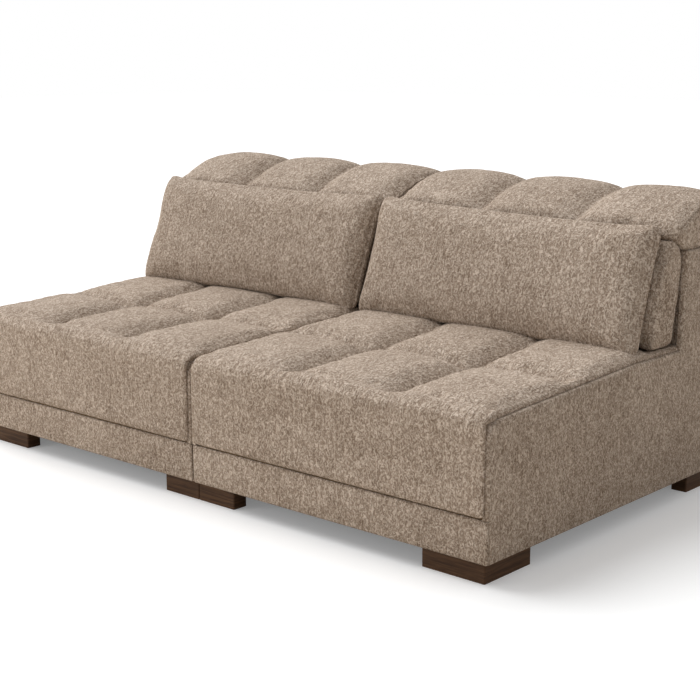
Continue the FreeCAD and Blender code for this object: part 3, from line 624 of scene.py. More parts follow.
@dataclass
class Upholstery:
    """The cloth in its two streak directions."""

    cloth: LoopedCloth = field(default_factory=LoopedCloth)
    made: dict[Grain, Material] = field(default_factory=dict)

    def cover(self, piece: Piece, grain: Grain) -> None:
        """Dress one piece in the cloth."""
        if grain not in self.made:
            self.made[grain] = self.cloth.material(grain)
        paint(piece, self.made[grain])

    def pad(self, piece: Piece, fill: float, body: str, stands_for: str | None = None) -> None:
        """Dress a filled piece.

        Args:
            piece: The piece, which is covered.
            fill: How firm its filling is, from 0 to 1; not used.
            body: The body that it moves with.
            stands_for: The CAD node that it takes the place of, if any.
        """
        self.cover(piece, Grain.ACROSS_WIDTH)
        if stands_for:
            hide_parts(stands_for)
        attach(piece, body)


@dataclass
class Module:
    """Places of the right module that its pieces share, read from the frame."""

    low: Vector = field(init=False)
    high: Vector = field(init=False)
    panel: float = field(init=False)
    pivot: Vector = field(init=False)

    def __post_init__(self) -> None:
        """Read the module's box, its panels' thickness and its headrest's pivot."""
        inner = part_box("right_inner_side_panel")
        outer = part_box("right_outer_side_panel")
        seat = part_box("right_seat_cushion")
        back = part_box("right_back_panel")
        self.low = Vector((inner[0].x, seat[0].y, inner[0].z))
        self.high = Vector((outer[1].x, back[1].y, outer[1].z))
        self.panel = inner[1].x - inner[0].x
        tilt = next(joint for joint in frame["joints"] if joint["name"] == "right_headrest_tilt")
        self.pivot = Vector(tilt["pos_m"])

    @property
    def centre(self) -> float:
        """X of the module's middle."""
        return (self.low.x + self.high.x) / 2

    @property
    def half(self) -> float:
        """Half of the module's width."""
        return (self.high.x - self.low.x) / 2

    def across(self, points: Points) -> Points:
        """Distance of points from the module's middle, with its sign."""
        return points[:, 0] - self.centre

    def spread(self, points: Points) -> tuple[Points, Points]:
        """Distance of points from the module's middle, and their depth behind the front of the seat."""
        return self.across(points), points[:, 1] - self.low.y


@dataclass
class SeatCushion:
    """The tufted seat with its waterfall front, which wraps the side boards' edges."""

    module: Module
    cloth: Upholstery
    pitch: float = 0.011
    edge_gap: float = 0.0018
    front_height: float = 0.404
    rear_height: float = 0.436
    rise_depth: float = 0.65
    crown: float = 0.015
    side_sink: float = 0.016
    column_sink: float = 0.031
    row_sink: float = 0.022
    dimple: float = 0.002
    crease: float = 0.007
    front_seam: float = 0.003
    sewn_row: float = 0.385
    front_round: float = 0.036
    wrap: float = 0.009
    filling: Filling = Filling(pressure=6.0, slack=0.03, most=0.009)

    def edge_height(self, depth: Points) -> Points:
        """Height of the seat's side edge at a depth."""
        share = np.clip(depth / self.rise_depth, 0, 1)
        return self.front_height + (self.rear_height - self.front_height) * share

    def column_share(self, across: Points) -> Points:
        """How near points are to a sewn column line or side: 0 midway, 1 on it."""
        half = self.module.half
        third = 2 * half / 3
        share = ((across + half) / third) % 1.0
        return np.abs(2 * share - 1)

    def row_share(self, depth: Points) -> Points:
        """How near points are to a sewn cross line: 0 midway, 1 on it."""
        share = depth / self.sewn_row
        near = np.abs(2 * (share % 1.0) - 1)
        near = np.where(share < 0.5, 0.0, near)
        return np.where(share > 2, 1.0, near)

    def beside(self, across: Points) -> Points:
        """0 over the inner columns, 1 along the seat's sides."""
        return rise(np.abs(across), self.module.half * 0.72, self.module.half * 0.8)

    def off_side(self, across: Points) -> Points:
        """1 over most of the width, fading towards the seat's sides."""
        return 1 - 0.9 * rise(np.abs(across), self.module.half * 0.84, self.module.half * 0.97)

    def sink(self, across: Points, depth: Points) -> Points:
        """How far the top lies below the tufts' crowns."""
        side = self.beside(across)
        reach = np.maximum(rise(depth, 0.012, 0.085), side)
        reach = reach * (1 - 0.72 * rise(depth, 0.57, 0.69) * (1 - side))
        near = self.column_share(across)
        column = (0.5 * near ** 2 + 0.5 * near ** 8) * reach
        row = self.row_share(depth)
        row = (0.45 * row ** 2 + 0.55 * row ** 9) * self.off_side(across)
        crossing = rise(near, 0.6, 1) * rise(self.row_share(depth), 0.78, 1) * reach * (1 - side)
        sewn = self.column_sink * (1 - side) + self.side_sink * side
        return sewn * column + self.row_sink * row * (1 - 0.35 * column) + self.dimple * crossing

    def build(self) -> Piece:
        """Model the seat.

        Returns:
            The right module's seat.
        """
        module = self.module
        low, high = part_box("right_seat_cushion")
        half = module.half - self.edge_gap
        top = self.rear_height + self.crown
        seat = start_block("right_seat", (module.centre - half, low.y, low.z),
                           (module.centre + half, high.y, top))
        bevel(seat, self.front_round, 6,
              lambda a, b: a.z > 0.4 and b.z > 0.4 and a.y < low.y + 1e-4 and b.y < low.y + 1e-4)
        bevel(seat, 0.012, 3, lambda a, b: min(a.y, b.y) < high.y - 1e-4)
        remesh(seat, self.pitch)
        self.tuft(seat, low.z, top)
        self.filling.swell(seat, self.held(seat))
        self.tuck(seat)
        refine(seat)
        self.sew(seat)
        self.wrinkle(seat)
        smooth(seat)
        return seat

    def tuft(self, seat: Piece, bottom: float, top: float) -> None:
        """Lower the flat top to the tufted one."""
        points = read_points(seat)
        across, depth = self.module.spread(points)
        wanted = self.edge_height(depth) + self.crown - self.sink(across, depth)
        share = rise(points[:, 2], bottom + 0.1, top)
        points[:, 2] -= (top - wanted) * share
        write_points(seat, points)

    def held(self, seat: Piece) -> Points:
        """Say which vertices the sewing and the frame hold."""
        points, normals = read_skin(seat)
        across, depth = self.module.spread(points)
        free = rise(normals[:, 2], 0.2, 0.6) * rise(depth, 0.02, 0.08)
        sewn = np.maximum(rise(self.column_share(across), 0.9, 0.97), rise(self.row_share(depth), 0.93, 0.98))
        return np.maximum(1 - free, sewn)

    def tuck(self, seat: Piece) -> None:
        """Draw the sides in behind the side boards."""
        points = read_points(seat)
        across, depth = self.module.spread(points)
        edge = self.edge_height(depth) - self.wrap
        below = 1 - rise(points[:, 2], edge - 0.006, edge + 0.002)
        behind = rise(depth, 0.008, 0.014)
        side = rise(np.abs(across), self.module.half - 0.03, self.module.half - 0.012)
        points[:, 0] -= np.sign(across) * self.module.panel * below * behind * side
        write_points(seat, points)

    def sew(self, seat: Piece) -> None:
        """Pull narrow creases in along the sewn lines."""
        points, normals = read_skin(seat)
        across, depth = self.module.spread(points)
        inside = 1 - self.beside(across)
        fade = rise(depth, 0.02, 0.08) * (1 - 0.7 * rise(depth, 0.6, 0.69)) * rise(normals[:, 2], 0.2, 0.6)
        column = self.column_share(across) ** 16 * inside
        row = self.row_share(depth) ** 16 * (1 - 0.5 * rise(depth, 0.6, 0.69)) * self.off_side(across)
        points[:, 2] -= self.crease * np.maximum(column, 1.1 * row) * fade
        edge = np.exp(-((normals[:, 1] + 0.72) / 0.14) ** 2) * rise(normals[:, 2], 0.3, 0.6)
        edge = edge * (1 - rise(depth, 0.04, 0.06))
        points -= normals * (self.front_seam * edge)[:, None]
        write_points(seat, points)

    def wrinkle(self, seat: Piece) -> None:
        """Add the small folds that the sewing pulls."""
        points, normals = read_skin(seat)
        across, depth = self.module.spread(points)
        near_line = np.exp(-((np.abs(np.abs(across) - self.module.half / 3)) / 0.045) ** 2)
        front = (1 - rise(depth, 0.03, 0.12)) * rise(points[:, 2], 0.26, 0.38)
        folds = ripple(points, (70.0, 8.0, 8.0), 3) * 0.0016 * front * (0.35 + near_line)
        slow = ripple(points, (9.0, 7.0, 7.0), 5) * 0.0012
        write_points(seat, points + normals * (folds + slow)[:, None])

    def dress(self, seat: Piece, side: Side) -> None:
        """Cover the seat and hide the CAD node that it stands for."""
        self.cloth.pad(seat, 0.8, "base", side.node("seat_cushion"))


@dataclass
class Boards:
    """The upholstered boards round a module: plinth, sides and back."""

    module: Module
    cloth: Upholstery
    seat: SeatCushion
    rounding: float = 0.006
    seam: float = 0.009
    side_front: float = 0.009
    plinth_front: float = 0.018
    lean: float = 0.013

    def build(self) -> dict[str, Piece]:
        """Model the right module's boards.

        Returns:
            The pieces by the name of the node that each stands for.
        """
        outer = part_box("right_outer_side_panel")
        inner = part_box("right_inner_side_panel")
        return {
            "plinth_panel": self.plinth(),
            "outer_side_panel": self.side("right_outer_side", outer[0].x, outer[1].x),
            "inner_side_panel": self.side("right_inner_side", inner[0].x, inner[1].x),
            "back_panel": self.back(),
            "post_wrap": self.post_wrap(),
        }

    def plinth(self) -> Piece:
        """Model the lower band under the seat's front."""
        low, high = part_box("right_plinth_panel")
        half = self.module.half - self.seat.edge_gap
        board = start_block("right_plinth", (self.module.centre - half, low.y, low.z),
                            (self.module.centre + half, high.y - self.rounding, high.z))
        bevel(board, self.rounding, 3)
        return board

    def side(self, name: str, low_x: float, high_x: float) -> Piece:
        """Model one side board, along the seat and up the back."""
        low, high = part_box("right_outer_side_panel")
        front = self.module.low.y
        seat_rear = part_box("right_back_deck")[0].y
        front_top = float(self.seat.edge_height(np.array(0.05))) - self.seam
        rear_top = float(self.seat.edge_height(np.array(self.seat.rise_depth))) - self.seam
        outline = [
            (front + self.plinth_front, low.z),
            (high.y, low.z),
            (high.y, high.z),
            (seat_rear, high.z),
            (seat_rear - self.lean, rear_top),
            (front + self.seat.rise_depth, rear_top),
            (front + 0.05, front_top),
            (front + 0.022, front_top - 0.012),
            (front + self.side_front, front_top - 0.038),
            (front + self.side_front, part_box("right_seat_cushion")[0].z),
            (front + self.plinth_front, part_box("right_plinth_panel")[1].z),
        ]
        board = start_prism(name, outline, low_x, high_x)
        shown = high_x if high_x > self.module.centre else low_x
        bevel(board, self.rounding, 3, lambda a, b: max(abs(a.x - shown), abs(b.x - shown)) < 1e-5)
        return board

    def post_wrap(self) -> Piece:
        """Model the cloth that covers the front of the back's posts."""
        low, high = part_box("right_back_posts")
        front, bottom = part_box("right_back_deck")[0].y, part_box("right_seat_cushion")[0].z
        thin = self.rounding / 5
        wrap = start_block("right_post_wrap", (low.x, front - thin, low.z + bottom),
                           (high.x, front - thin / 6, high.z))
        bevel(wrap, thin / 4, 1)
        return wrap

    def back(self) -> Piece:
        """Model the rear board."""
        low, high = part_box("right_back_panel")
        board = start_block("right_back_board", low, high)
        bevel(board, self.rounding, 3)
        return board

    def dress(self, name: str, board: Piece, side: Side) -> None:
        """Cover a board and hide the CAD node that it stands for, unless it is the post wrap."""
        smooth(board, 40)
        grain = Grain.ACROSS_DEPTH if "side" in name else Grain.ACROSS_WIDTH
        self.cloth.cover(board, grain)
        if name != "post_wrap":
            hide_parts(side.node(name))
        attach(board, "base")


@dataclass
class BackPad:
    """The leaning pad behind the pillow."""

    module: Module
    cloth: Upholstery
    pitch: float = 0.010
    lean: float = 15.6
    foot_front: float = 0.745
    thickness: float = 0.103
    top_drop: float = 0.027
    hollow: float = 0.0795
    end_inset: float = 0.013
    corner: float = 0.03
    hinge_room: float = 0.0155
    fold_angle: float = 150.0
    fold_lap: float = 0.012
    fold_lip: float = 0.048
    fold_front: tuple[Spot, ...] = (
        (-0.053, 0.03), (-0.061, 0.01), (-0.07, -0.012), (-0.08, -0.036))
    fold_keep: float = 0.6
    end_settle: float = 0.009
    end_seam: float = 0.058
    seam_sink: float = 0.006
    filling: Filling = Filling(pressure=4.0, slack=0.02, most=0.010)

    def hollow_point(self, angle: float) -> Spot:
        """Depth and height of a point of the hollow round the pivot."""
        depth, height = polar(self.hollow, angle)
        return self.module.pivot.y + depth, self.module.pivot.z + height

    def fold(self) -> Piece:
        """Model the soft top of the pad, which fills the fold under the headrest."""
        module = self.module
        half = module.half - self.end_inset
        outline = [polar(self.hinge_room, angle) for angle in (268, 238, 208, 178, self.fold_angle)]
        outline += [polar(self.fold_lip, self.fold_angle), *self.fold_front]
        outline += [polar(self.hollow + self.fold_lap, angle) for angle in (213, 225, 240, 253, 265)]
        placed = [(module.pivot.y + depth, module.pivot.z + height) for depth, height in outline]
        top = start_prism("right_pad_fold", placed, module.centre - half, module.centre + half)
        remesh(top, self.pitch * 0.6)
        modify(top, "SMOOTH", factor=0.5, iterations=8)
        return top

    def dress_fold(self, top: Piece, side: Side) -> None:
        """Cover the soft top and give it its own mesh."""
        smooth(top)
        self.cloth.pad(top, 0.9, "base")
        foot = (0, self.module.pivot.y, self.module.pivot.z - self.hollow - self.fold_lap)
        side.node("headrest_tilt")
        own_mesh(top)

    def build(self) -> Piece:
        """Model the right module's back pad."""
        module = self.module
        low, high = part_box("right_back_pad")
        slope = math.tan(math.radians(self.lean))
        front = module.low.y + self.foot_front
        top = module.pivot.z - self.top_drop
        outline = [(front, low.z), (front + self.thickness, low.z)]
        outline += [self.hollow_point(angle) for angle in (268, 258, 249, 240, 232, 224, 216, 208, 200)]
        outline.append((front + (top - low.z) * slope, top))
        half = module.half - self.end_inset
        pad = start_prism("right_back_rest", outline, module.centre - half, module.centre + half)
        bevel(pad, self.corner, 5,
              lambda a, b: max(a.z, b.z) < low.z + 0.001 and min(a.y, b.y) < front + 0.001)
        bevel(pad, 0.022, 4, lambda a, b: max(a.z, b.z) < low.z + 0.001 and min(a.y, b.y) > front + 0.05)
        bevel(pad, 0.006, 2, lambda a, b: abs(a.x - b.x) < 1e-5 and min(a.y, b.y) > front + 0.09)
        bevel(pad, 0.016, 3, lambda a, b: abs(a.x - b.x) < 1e-5 and max(a.y, b.y) < front + 0.05)
        remesh(pad, self.pitch)
        self.filling.swell(pad, self.held(pad))
        self.settle_ends(pad, low.z)
        refine(pad)
        self.sew(pad, front, low.z, slope)
        smooth(pad)
        return pad

    def sew(self, pad: Piece, front: float, foot: float, slope: float) -> None:
        """Pull in the seam that runs up each end, a little behind the front."""
        points, normals = read_skin(pad)
        behind = points[:, 1] - front - (points[:, 2] - foot) * slope
        groove = np.exp(-((behind - self.end_seam) / 0.007) ** 2) * rise(np.abs(normals[:, 0]), 0.4, 0.8)
        write_points(pad, points - normals * (self.seam_sink * groove)[:, None])

    def settle_ends(self, pad: Piece, foot: float) -> None:
        """Let the foot sink at its ends, where the seat falls towards its sides."""
        points = read_points(pad)
        near = rise(np.abs(self.module.across(points)), self.module.half * 0.82, self.module.half * 0.96)
        points[:, 2] -= self.end_settle * near * (1 - rise(points[:, 2], foot + 0.01, foot + 0.1))
        write_points(pad, points)

    def held(self, pad: Piece) -> Points:
        """Hold all but the front and the ends."""
        points, normals = read_skin(pad)
        free = np.maximum(rise(-normals[:, 1], 0.3, 0.8), rise(np.abs(normals[:, 0]), 0.5, 0.9) * 0.5)
        return 1 - free * (1 - rise(points[:, 2], self.module.pivot.z - 0.05, self.module.pivot.z - 0.02))

    def dress(self, pad: Piece, side: Side) -> None:
        """Cover the pad and hide the CAD node that it stands for."""
        self.cloth.pad(pad, 0.8, "base", side.node("back_pad"))


@dataclass
class Headrest:
    """The channelled roll above the back pad, which tilts up on its hinges."""

    module: Module
    cloth: Upholstery
    pitch: float = 0.010
    nose: float = 0.0575
    nose_line: tuple[Spot, ...] = (
        (-0.010, 0.0068), (-0.030, 0.0195), (-0.046, 0.031), (-0.055, 0.043), (-0.0575, 0.055),
        (-0.053, 0.066))
    top_line: tuple[tuple[Spot, float], ...] = (
        ((-0.004, 0.094), 0.006), ((0.222, 0.157), 0.018), ((0.309, 0.071), 0.024))
    channel_sink: float = 0.022
    crease: float = 0.006
    end_round: float = 0.016
    end_turn: float = 0.05
    end_droop: float = 0.012
    panel_sink: float = 0.0035
    sunk: float = 0.04
    right_end_sunk: float = 0.09
    filling: Filling = Filling(pressure=4.0, slack=0.02, most=0.010)

    def outline(self) -> Outline:
        """Draw the roll's section: the nose, then bowed runs over the top to the tail, then the floor."""
        pivot = self.module.pivot
        points = [(pivot.y + depth, pivot.z + height) for depth, height in self.nose_line]
        first = self.nose_line[-1]
        for last, bulge in self.top_line:
            run = (last[0] - first[0], last[1] - first[1])
            length = math.hypot(*run)
            out = (-run[1] / length, run[0] / length)
            for step in range(1, 7):
                share = step / 6
                bow = bulge * 4 * share * (1 - share)
                points.append((pivot.y + first[0] + run[0] * share + out[0] * bow,
                               pivot.z + first[1] + run[1] * share + out[1] * bow))
            first = last
        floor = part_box("right_back_deck")[1].z + 0.0015
        return points + [(pivot.y + first[0], floor), (pivot.y, floor)]

    def build(self) -> Piece:
        """Model the right module's headrest."""
        low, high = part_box("right_headrest_pad")
        roll = start_prism("right_headrest_roll", self.outline(), low.x, high.x)
        bevel(roll, self.end_round, 4, lambda a, b: abs(a.x - b.x) < 1e-5 and a.x > high.x - 1e-4)
        remesh(roll, self.pitch)
        self.channel(roll)
        self.filling.swell(roll, self.held(roll))
        modify(roll, "SMOOTH", factor=0.5, iterations=3)
        refine(roll)
        self.sew(roll)
        self.round_end(roll, high.x)
        smooth(roll)
        return roll

    def sew(self, roll: Piece) -> None:
        """Pull narrow creases in along the sewn lines and let the outer end droop."""
        points, normals = read_skin(roll)
        across = self.module.across(points)
        free = rise(points[:, 2], self.module.pivot.z + 0.03, self.module.pivot.z + 0.06)
        points -= normals * (self.crease * self.channel_share(across) ** 14 * free)[:, None]
        points[:, 2] -= self.end_droop * rise(across, self.module.half * 0.72, self.module.half) * free
        write_points(roll, points)

    def underside(self, roll: Piece) -> None:
        """Draw the cloth flat between the board inside and the deck below."""
        points, normals = read_skin(roll)
        level = (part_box("right_headrest_board")[0].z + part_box("right_back_deck")[1].z) / 2
        under = (normals[:, 2] < -0.2) & (points[:, 1] > self.module.pivot.y) & (points[:, 2] < level + 0.035)
        points[:, 2] = np.where(under, level, np.maximum(points[:, 2], level))
        write_points(roll, points)

    def settle(self, roll: Piece, side: Side) -> None:
        """Let the roll sit a little lower, as its filling does on each side."""
        points = read_points(roll)
        floor = self.module.pivot.z
        out = np.clip(np.abs(points[:, 0]), 0, 1)
        sunk = self.sunk + (self.right_end_sunk if side is Side.RIGHT else -self.sunk) * out
        points[:, 2] -= np.maximum(points[:, 2] - floor - 0.01, 0) * sunk
        write_points(roll, points)

    def round_end(self, roll: Piece, end: float) -> None:
        """Curve the nose back to the flat end panel and sink that panel behind its seam."""
        points = read_points(roll)
        outline = np.array(self.outline())
        starts, runs = outline, np.roll(outline, -1, axis=0) - outline
        offset = points[:, None, 1:] - starts[None]
        share = np.clip((offset * runs).sum(axis=2) / (runs ** 2).sum(axis=1), 0, 1)
        inside = np.linalg.norm(offset - share[:, :, None] * runs, axis=2).min(axis=1)
        panel = rise(points[:, 0], end - 0.012, end - 0.004)
        points[:, 0] -= self.panel_sink * panel * rise(inside, 0.007, 0.015)
        ahead = np.clip(self.module.pivot.y - points[:, 1], 0, self.nose)
        inset = self.end_turn * (1 - np.sqrt(1 - (ahead / (self.nose + 0.003)) ** 2))
        begin = end - 0.14
        near = np.clip((points[:, 0] - begin) / (end - begin), 0, None)
        points[:, 0] -= near * inset
        write_points(roll, points)

    def channel_share(self, across: Points) -> Points:
        """How near points are to a sewn channel line: 0 midway, 1 on it."""
        half = self.module.half
        share = ((across + half) / (2 * half / 3)) % 1.0
        near = np.abs(2 * share - 1)
        return np.where(across > half * 0.72, near * 0.0, near)

    def channel(self, roll: Piece) -> None:
        """Sink the sewn lines between the channels."""
        points, normals = read_skin(roll)
        near = self.channel_share(self.module.across(points))
        sink = self.channel_sink * (1 - (1 - near ** 2.4) ** 0.62)
        round_top = rise(points[:, 2], self.module.pivot.z - 0.03, self.module.pivot.z + 0.02)
        inward = normals.copy()
        inward[:, 0] = 0
        length = np.linalg.norm(inward, axis=1, keepdims=True)
        inward = np.where(length > 0.3, inward / np.maximum(length, 1e-6), 0)
        write_points(roll, points - inward * (sink * round_top)[:, None])

    def held(self, roll: Piece) -> Points:
        """Hold the sewn lines, the floor and the ends."""
        points, normals = read_skin(roll)
        near = self.channel_share(self.module.across(points))
        free = rise(points[:, 2], self.module.pivot.z + 0.01, self.module.pivot.z + 0.05)
        free = free * (1 - rise(np.abs(normals[:, 0]), 0.7, 0.9))
        return np.maximum(1 - free, rise(near, 0.9, 0.97))

    def dress(self, roll: Piece, side: Side) -> None:
        """Cover the roll and hide the CAD node that it stands for."""
        self.settle(roll, side)
        self.underside(roll)
        self.cloth.pad(roll, 0.9, side.node("headrest"), side.node("headrest_pad"))


@dataclass
class LumbarPillow:
    """The loose pillow that leans on the back pad."""

    module: Module
    cloth: Upholstery
    pitch: float = 0.010
    width: float = 0.962
    height: float = 0.338
    foot: float = 0.706
    lean: float = 21.0
    front: float = 0.058
    rear: float = 0.008
    settle: float = 0.012
    stand: float = 0.004
    seam: float = 0.004
    keep: float = 0.8
    filling: Filling = Filling(pressure=6.0, slack=0.03, most=0.013)

    def build(self) -> Piece:
        """Model the right module's pillow, flat at first and then leaned."""
        half = self.width / 2
        pillow = start_block("right_pillow", (-half, -self.front, 0), (half, self.rear, self.height))
        bevel(pillow, 0.03, 4, lambda a, b: abs(a.y - b.y) > 0.01)
        bevel(pillow, 0.016, 3, lambda a, b: abs(a.y - b.y) < 0.01)
        remesh(pillow, self.pitch)
        self.draw_in(pillow)
        self.filling.swell(pillow, np.zeros(len(pillow.data.vertices)))
        self.fit(pillow)
        self.lean_back(pillow)
        refine(pillow)
        self.sew(pillow)
        smooth(pillow)
        return pillow

    def sew(self, pillow: Piece) -> None:
        """Pull the seam in round the front."""
        points, normals = read_skin(pillow)
        groove = np.exp(-((normals[:, 1] + 0.45) / 0.16) ** 2)
        write_points(pillow, points - normals * (self.seam * groove)[:, None])

    def slump(self, pillow: Piece, side: Side) -> None:
        """Lay the right pillow low at its outer end and lean the left one back more."""
        points = read_points(pillow)
        low, high = points[:, 2].min(), points[:, 2].max()
        up = (points[:, 2] - low) / (high - low)
        out = np.clip((np.abs(points[:, 0]) - 0.1) / 0.9, 0, 1)
        points[:, 0] -= side.value * 0.012 * (1 - rise(np.abs(points[:, 0]), 0.02, 0.3))
        if side is Side.RIGHT:
            points[:, 0] -= (0.004 + 0.018 * up) * rise(out, 0.4, 1)
            points[:, 1] -= 0.018 * out * (1 - up)
            points[:, 2] -= (0.009 + 0.01 * up) * out
        else:
            points[:, 1] += 0.012 * up
            points[:, 2] += 0.006 * up * out
        write_points(pillow, points)

    def draw_in(self, pillow: Piece) -> None:
        """Thin the pillow towards its seams and pull its sides in between the corners."""
        points = read_points(pillow)
        u = points[:, 0] / (self.width / 2)
        v = points[:, 2] / (self.height / 2) - 1
        full = (1 - np.abs(u) ** 7) * (1 - np.abs(v) ** 4)
        points[:, 1] *= 0.36 + 0.64 * np.maximum(full, 0) ** 0.6
        points[:, 0] -= np.sign(u) * 0.003 * (1 - v * v) * rise(np.abs(u), 0.7, 1)
        points[:, 2] -= np.sign(v) * 0.006 * (1 - u * u) * rise(np.abs(v), 0.5, 1)
        write_points(pillow, points)

    def fit(self, pillow: Piece) -> None:
        """Bring the swollen pillow back to its width and height."""
        points = read_points(pillow)
        low, high = points.min(axis=0), points.max(axis=0)
        points[:, 0] = (points[:, 0] - (low[0] + high[0]) / 2) * self.width / (high[0] - low[0])
        points[:, 2] = (points[:, 2] - low[2]) * self.height / (high[2] - low[2])
        write_points(pillow, points)

    def lean_back(self, pillow: Piece) -> None:
        """Stand the pillow on the seat, leaning on the back pad."""
        points = read_points(pillow)
        lean = math.radians(self.lean)
        low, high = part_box("right_lumbar_pillow")
        turned = points.copy()
        turned[:, 0] += self.module.centre
        turned[:, 1] = points[:, 1] * math.cos(lean) + points[:, 2] * math.sin(lean)
        standing = rise(points[:, 2], 0.0, self.height * 0.4)
        turned[:, 2] = points[:, 2] * math.cos(lean) - points[:, 1] * math.sin(lean) * standing
        turned[:, 1] += self.module.low.y + self.foot
        foot, top = turned[:, 2].min(), turned[:, 2].max()
        stretch = (high.z + self.stand - low.z + self.settle) / (top - foot)
        turned[:, 2] = low.z - self.settle + (turned[:, 2] - foot) * stretch
        write_points(pillow, turned)

    def dress(self, pillow: Piece, side: Side) -> None:
        """Cover the pillow, hide the CAD node that it stands for and give it its own mesh."""
        self.slump(pillow, side)
        self.cloth.pad(pillow, 0.7, side.node("pillow"), side.node("lumbar_pillow"))
        side.node("headrest_tilt")
        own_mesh(pillow)


@dataclass(frozen=True)
class HiddenFrame:
    """The CAD pieces that stay as they are, with a finish for each material slot."""

    finishes: tuple[SawnWood | DrawnSteel | PlainWeave, ...] = (
        SawnWood("walnut", srgb(56, 37, 24), srgb(98, 71, 50)),
        SawnWood("frame_timber", srgb(168, 128, 84), srgb(214, 178, 128), (40.0, 3.0, 40.0), 0.7),
        SawnWood("plywood", srgb(178, 142, 98), srgb(222, 190, 144), (3.0, 30.0, 120.0), 0.65),
        DrawnSteel("spring_steel", srgb(128, 128, 132), srgb(96, 92, 88)),
        DrawnSteel("hinge_steel", srgb(150, 150, 154), srgb(120, 118, 116)),
        DrawnSteel("bolt_steel", srgb(172, 168, 150), srgb(140, 132, 112)),
        PlainWeave("felt", srgb(120, 118, 114), srgb(176, 173, 168), 500.0),
        PlainWeave("webbing", srgb(58, 54, 50), srgb(104, 98, 90), 420.0),
        PlainWeave("dust_cloth", srgb(24, 24, 26), srgb(52, 52, 56), 700.0),
    )

    def dress(self, cloth: Upholstery) -> dict[str, Material]:
        """Give every CAD node a finish, those of the cloth included.

        Args:
            cloth: The upholstery for the nodes that it covers.

        Returns:
            The other finishes by material slot.
        """
        made = {finish.name: finish.material() for finish in self.finishes}
        slots = {row["node"]: row["material_slot"] for row in frame["record"]["subparts"]}
        for name, node in frame["nodes"].items():
            if slots[name] == "upholstery":
                cloth.cover(node, Grain.ACROSS_WIDTH)
            else:
                paint(node, made[slots[name]])
        return made


@dataclass
class Linings:
    """The hidden cloths of a module: dust cover, felt over the springs and straps behind the pad."""

    finishes: dict[str, Material]
    sag: float = 0.004
    sheet_thickness: float = 0.0008
    felt_thickness: float = 0.005
    strap_count: int = 5
    strap_width: float = 0.06

    def cloth(self, name: str, node: str, thickness: float) -> Piece:
        """Lay a level cloth in a node's box, with a slow sag and small waves."""
        low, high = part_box(node)
        deselect()
        bpy.ops.mesh.primitive_grid_add(x_subdivisions=48, y_subdivisions=56, size=1,
                                        location=(low + high) / 2)
        piece = bpy.context.object
        piece.name = piece.data.name = name
        piece.scale = (high.x - low.x, high.y - low.y, 1)
        bpy.ops.object.transform_apply(location=True, rotation=True, scale=True)
        points = read_points(piece)
        u, v = (2 * (points[:, axis] - low[axis]) / (high[axis] - low[axis]) - 1 for axis in (0, 1))
        middle = (1 - u ** 2) * (1 - v ** 2)
        waves = ripple(points, (12.0, 12.0, 12.0), 7) * 0.2
        points[:, 2] += (waves - 1) * min(self.sag, thickness * 5) * middle
        write_points(piece, points)
        modify(piece, "SOLIDIFY", thickness=thickness, offset=0.0)
        return piece

    def straps(self) -> Piece:
        """Stretch the straps between the lumbar rail and the deck."""
        low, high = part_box("right_back_webbing")
        pitch = (high.x - low.x - self.strap_width) / (self.strap_count - 1)
        made = []
        for number in range(self.strap_count):
            left = low.x + number * pitch
            strap = start_block(f"strap_{number}", (left, low.y, low.z),
                                (left + self.strap_width, high.y, high.z))
            bevel(strap, (high.y - low.y) * 0.3, 2)
            made.append(strap)
        deselect()
        for strap in made:
            strap.select_set(True)
        bpy.context.view_layer.objects.active = made[0]
        bpy.ops.object.join()
        made[0].name = made[0].data.name = "right_straps"
        return made[0]

    def build(self) -> dict[str, Piece]:
        """Model the right module's cloths, by the name of the node that each stands for."""
        return {
            "dust_cover": self.cloth("right_dust_sheet", "right_dust_cover", self.sheet_thickness),
            "spring_felt": self.cloth("right_felt", "right_spring_felt", self.felt_thickness),
            "back_webbing": self.straps(),
        }

    def dress(self, name: str, piece: Piece, side: Side) -> None:
        """Finish a cloth, hide the CAD node that it stands for and attach it to the base."""
        smooth(piece, 40)
        slot = {"dust_cover": "dust_cloth", "spring_felt": "felt", "back_webbing": "webbing"}[name]
        paint(piece, self.finishes[slot])
        low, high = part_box(side.node(name))
        if name == "spring_felt":
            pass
        elif name == "dust_cover":
            side.node("side_rails")
            side.node("front_rail")
            side.node("rear_rail")
        else:
            side.node("lumbar_rail")
            side.node("back_deck")
        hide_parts(side.node(name))
        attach(piece, "base")


@dataclass(frozen=True)
class Lamp:
    """A lamp that hangs at a place and points at another."""

    name: str
    kind: str
    place: Place
    aim: Place
    settings: dict[str, float | str]

    def build(self) -> None:
        """Hang the lamp."""
        light = bpy.data.lights.new(self.name, self.kind)
        for name, value in self.settings.items():
            setattr(light, name, value)
        lamp = bpy.data.objects.new(self.name, light)
        lamp.location = self.place
        lamp.rotation_euler = (Vector(self.aim) - Vector(self.place)).to_track_quat("-Z", "Y").to_euler()
        bpy.context.scene.collection.objects.link(lamp)


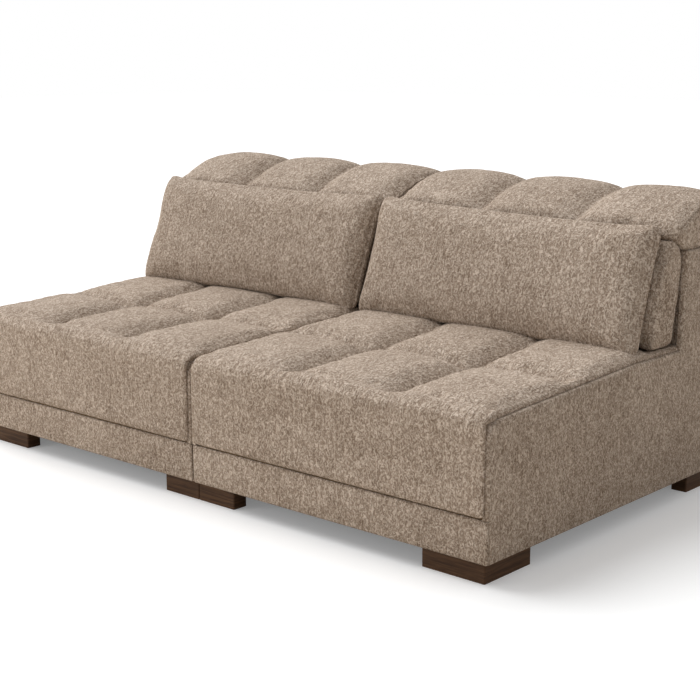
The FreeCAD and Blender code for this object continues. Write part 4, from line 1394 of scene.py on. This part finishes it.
@dataclass
class Studio:
    """The floor, the soft light and the camera."""

    floor_tone: Colour = srgb(242, 242, 242)
    floor_bounce: Colour = srgb(214, 206, 196)
    floor_glow: float = 0.19
    room_share: float = 0.5
    eye: Place = (2.8216, -3.1168, 1.2122)
    turn: Place = (1.3651, 0.0, 0.7258)
    lens: float = 73.29

    def build(self) -> None:
        """Set up the stage: a broad high light at the left and a low soft panel before the fronts."""
        bpy.context.scene.view_settings.view_transform = "Standard"
        self.floor()
        self.sky()
        Lamp("key", "SUN", (-4.0, 0.28, 4.32), (0, 0, 0),
             {"energy": 3.1, "angle": math.radians(62)}).build()
        Lamp("wash", "AREA", (-1.9, -3.3, 1.1), (-0.4, 0, 0.4),
             {"energy": 23.0, "shape": "DISK", "size": 1.8}).build()
        self.camera()

    def floor(self) -> None:
        """Lay a wide pale floor."""
        deselect()
        bpy.ops.mesh.primitive_plane_add(size=60, location=(0, 0, 0))
        floor = bpy.context.object
        floor.name = "floor"
        tree = ShaderTree.named("pale_floor")
        seen = tree.node("ShaderNodeLightPath", output="Is Camera Ray")
        paint(floor, tree.finish(
            Base_Color=tree.mix(seen, self.floor_bounce, self.floor_tone),
            Roughness=0.9, Specular_IOR_Level=0.0,
            Emission_Color=tree.mix(seen, (0, 0, 0, 1), (1, 1, 1, 1)), Emission_Strength=self.floor_glow))
        floor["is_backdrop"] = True

    def sky(self) -> None:
        """Light the room evenly and show white behind the object."""
        tree = ShaderTree(bpy.data.worlds.new("room"), "Background")
        seen = tree.node("ShaderNodeLightPath", output="Is Camera Ray")
        shine = tree.node("ShaderNodeLightPath", output="Is Glossy Ray")
        strength = (seen + shine) * (1 - self.room_share) + self.room_share
        bpy.context.scene.world = tree.finish(Color=(1, 1, 1, 1), Strength=strength)

    def camera(self) -> None:
        """Stand the camera where the photograph was taken."""
        camera = bpy.data.cameras.new("camera")
        camera.lens = self.lens
        camera.sensor_width = 36.0
        stand = bpy.data.objects.new("camera", camera)
        stand.location = self.eye
        stand.rotation_euler = self.turn
        bpy.context.scene.collection.objects.link(stand)
        bpy.context.scene.camera = stand


def both(piece: Piece) -> tuple[tuple[Side, Piece], ...]:
    """Give a right piece and its mirror image, each with its side; a large soft copy differs a little."""
    copy = mirrored(piece, piece.name.replace("right_", "left_", 1))
    LOG.info("%s: %d faces", piece.name, len(piece.data.polygons))
    if len(copy.data.vertices) > SOFT_COUNT:
        points, normals = read_skin(copy)
        write_points(copy, points + normals * (ripple(points, (8.0, 8.0, 8.0), 11) * UNEVEN)[:, None])
    return (Side.RIGHT, piece), (Side.LEFT, copy)


def write_sizes() -> None:
    """Gather the box of the CAD model and that of the dressed one, without writing them."""
    boxes = {"cad": CAD_BOX, "visual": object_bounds()}
    boxes = {name: [list(corner) for corner in box] for name, box in boxes.items()}


def main() -> None:
    """Build and dress the sofa and its studio."""
    logging.basicConfig(level=logging.INFO, format="%(name)s: %(message)s")
    cloth = Upholstery()
    module = Module()
    linings = Linings(HiddenFrame().dress(cloth))
    seat = SeatCushion(module, cloth)
    boards = Boards(module, cloth, seat)
    pad = BackPad(module, cloth)
    makers = (seat, pad, Headrest(module, cloth), LumbarPillow(module, cloth))
    jobs = [(maker.build, maker.dress) for maker in makers] + [(pad.fold, pad.dress_fold)]
    for build, dress in jobs:
        for side, piece in both(build()):
            dress(piece, side)
    for maker in (boards, linings):
        for name, made in maker.build().items():
            for side, piece in both(made):
                maker.dress(name, piece, side)
    Studio().build()
    write_sizes()


if __name__ == "__main__":
    main()
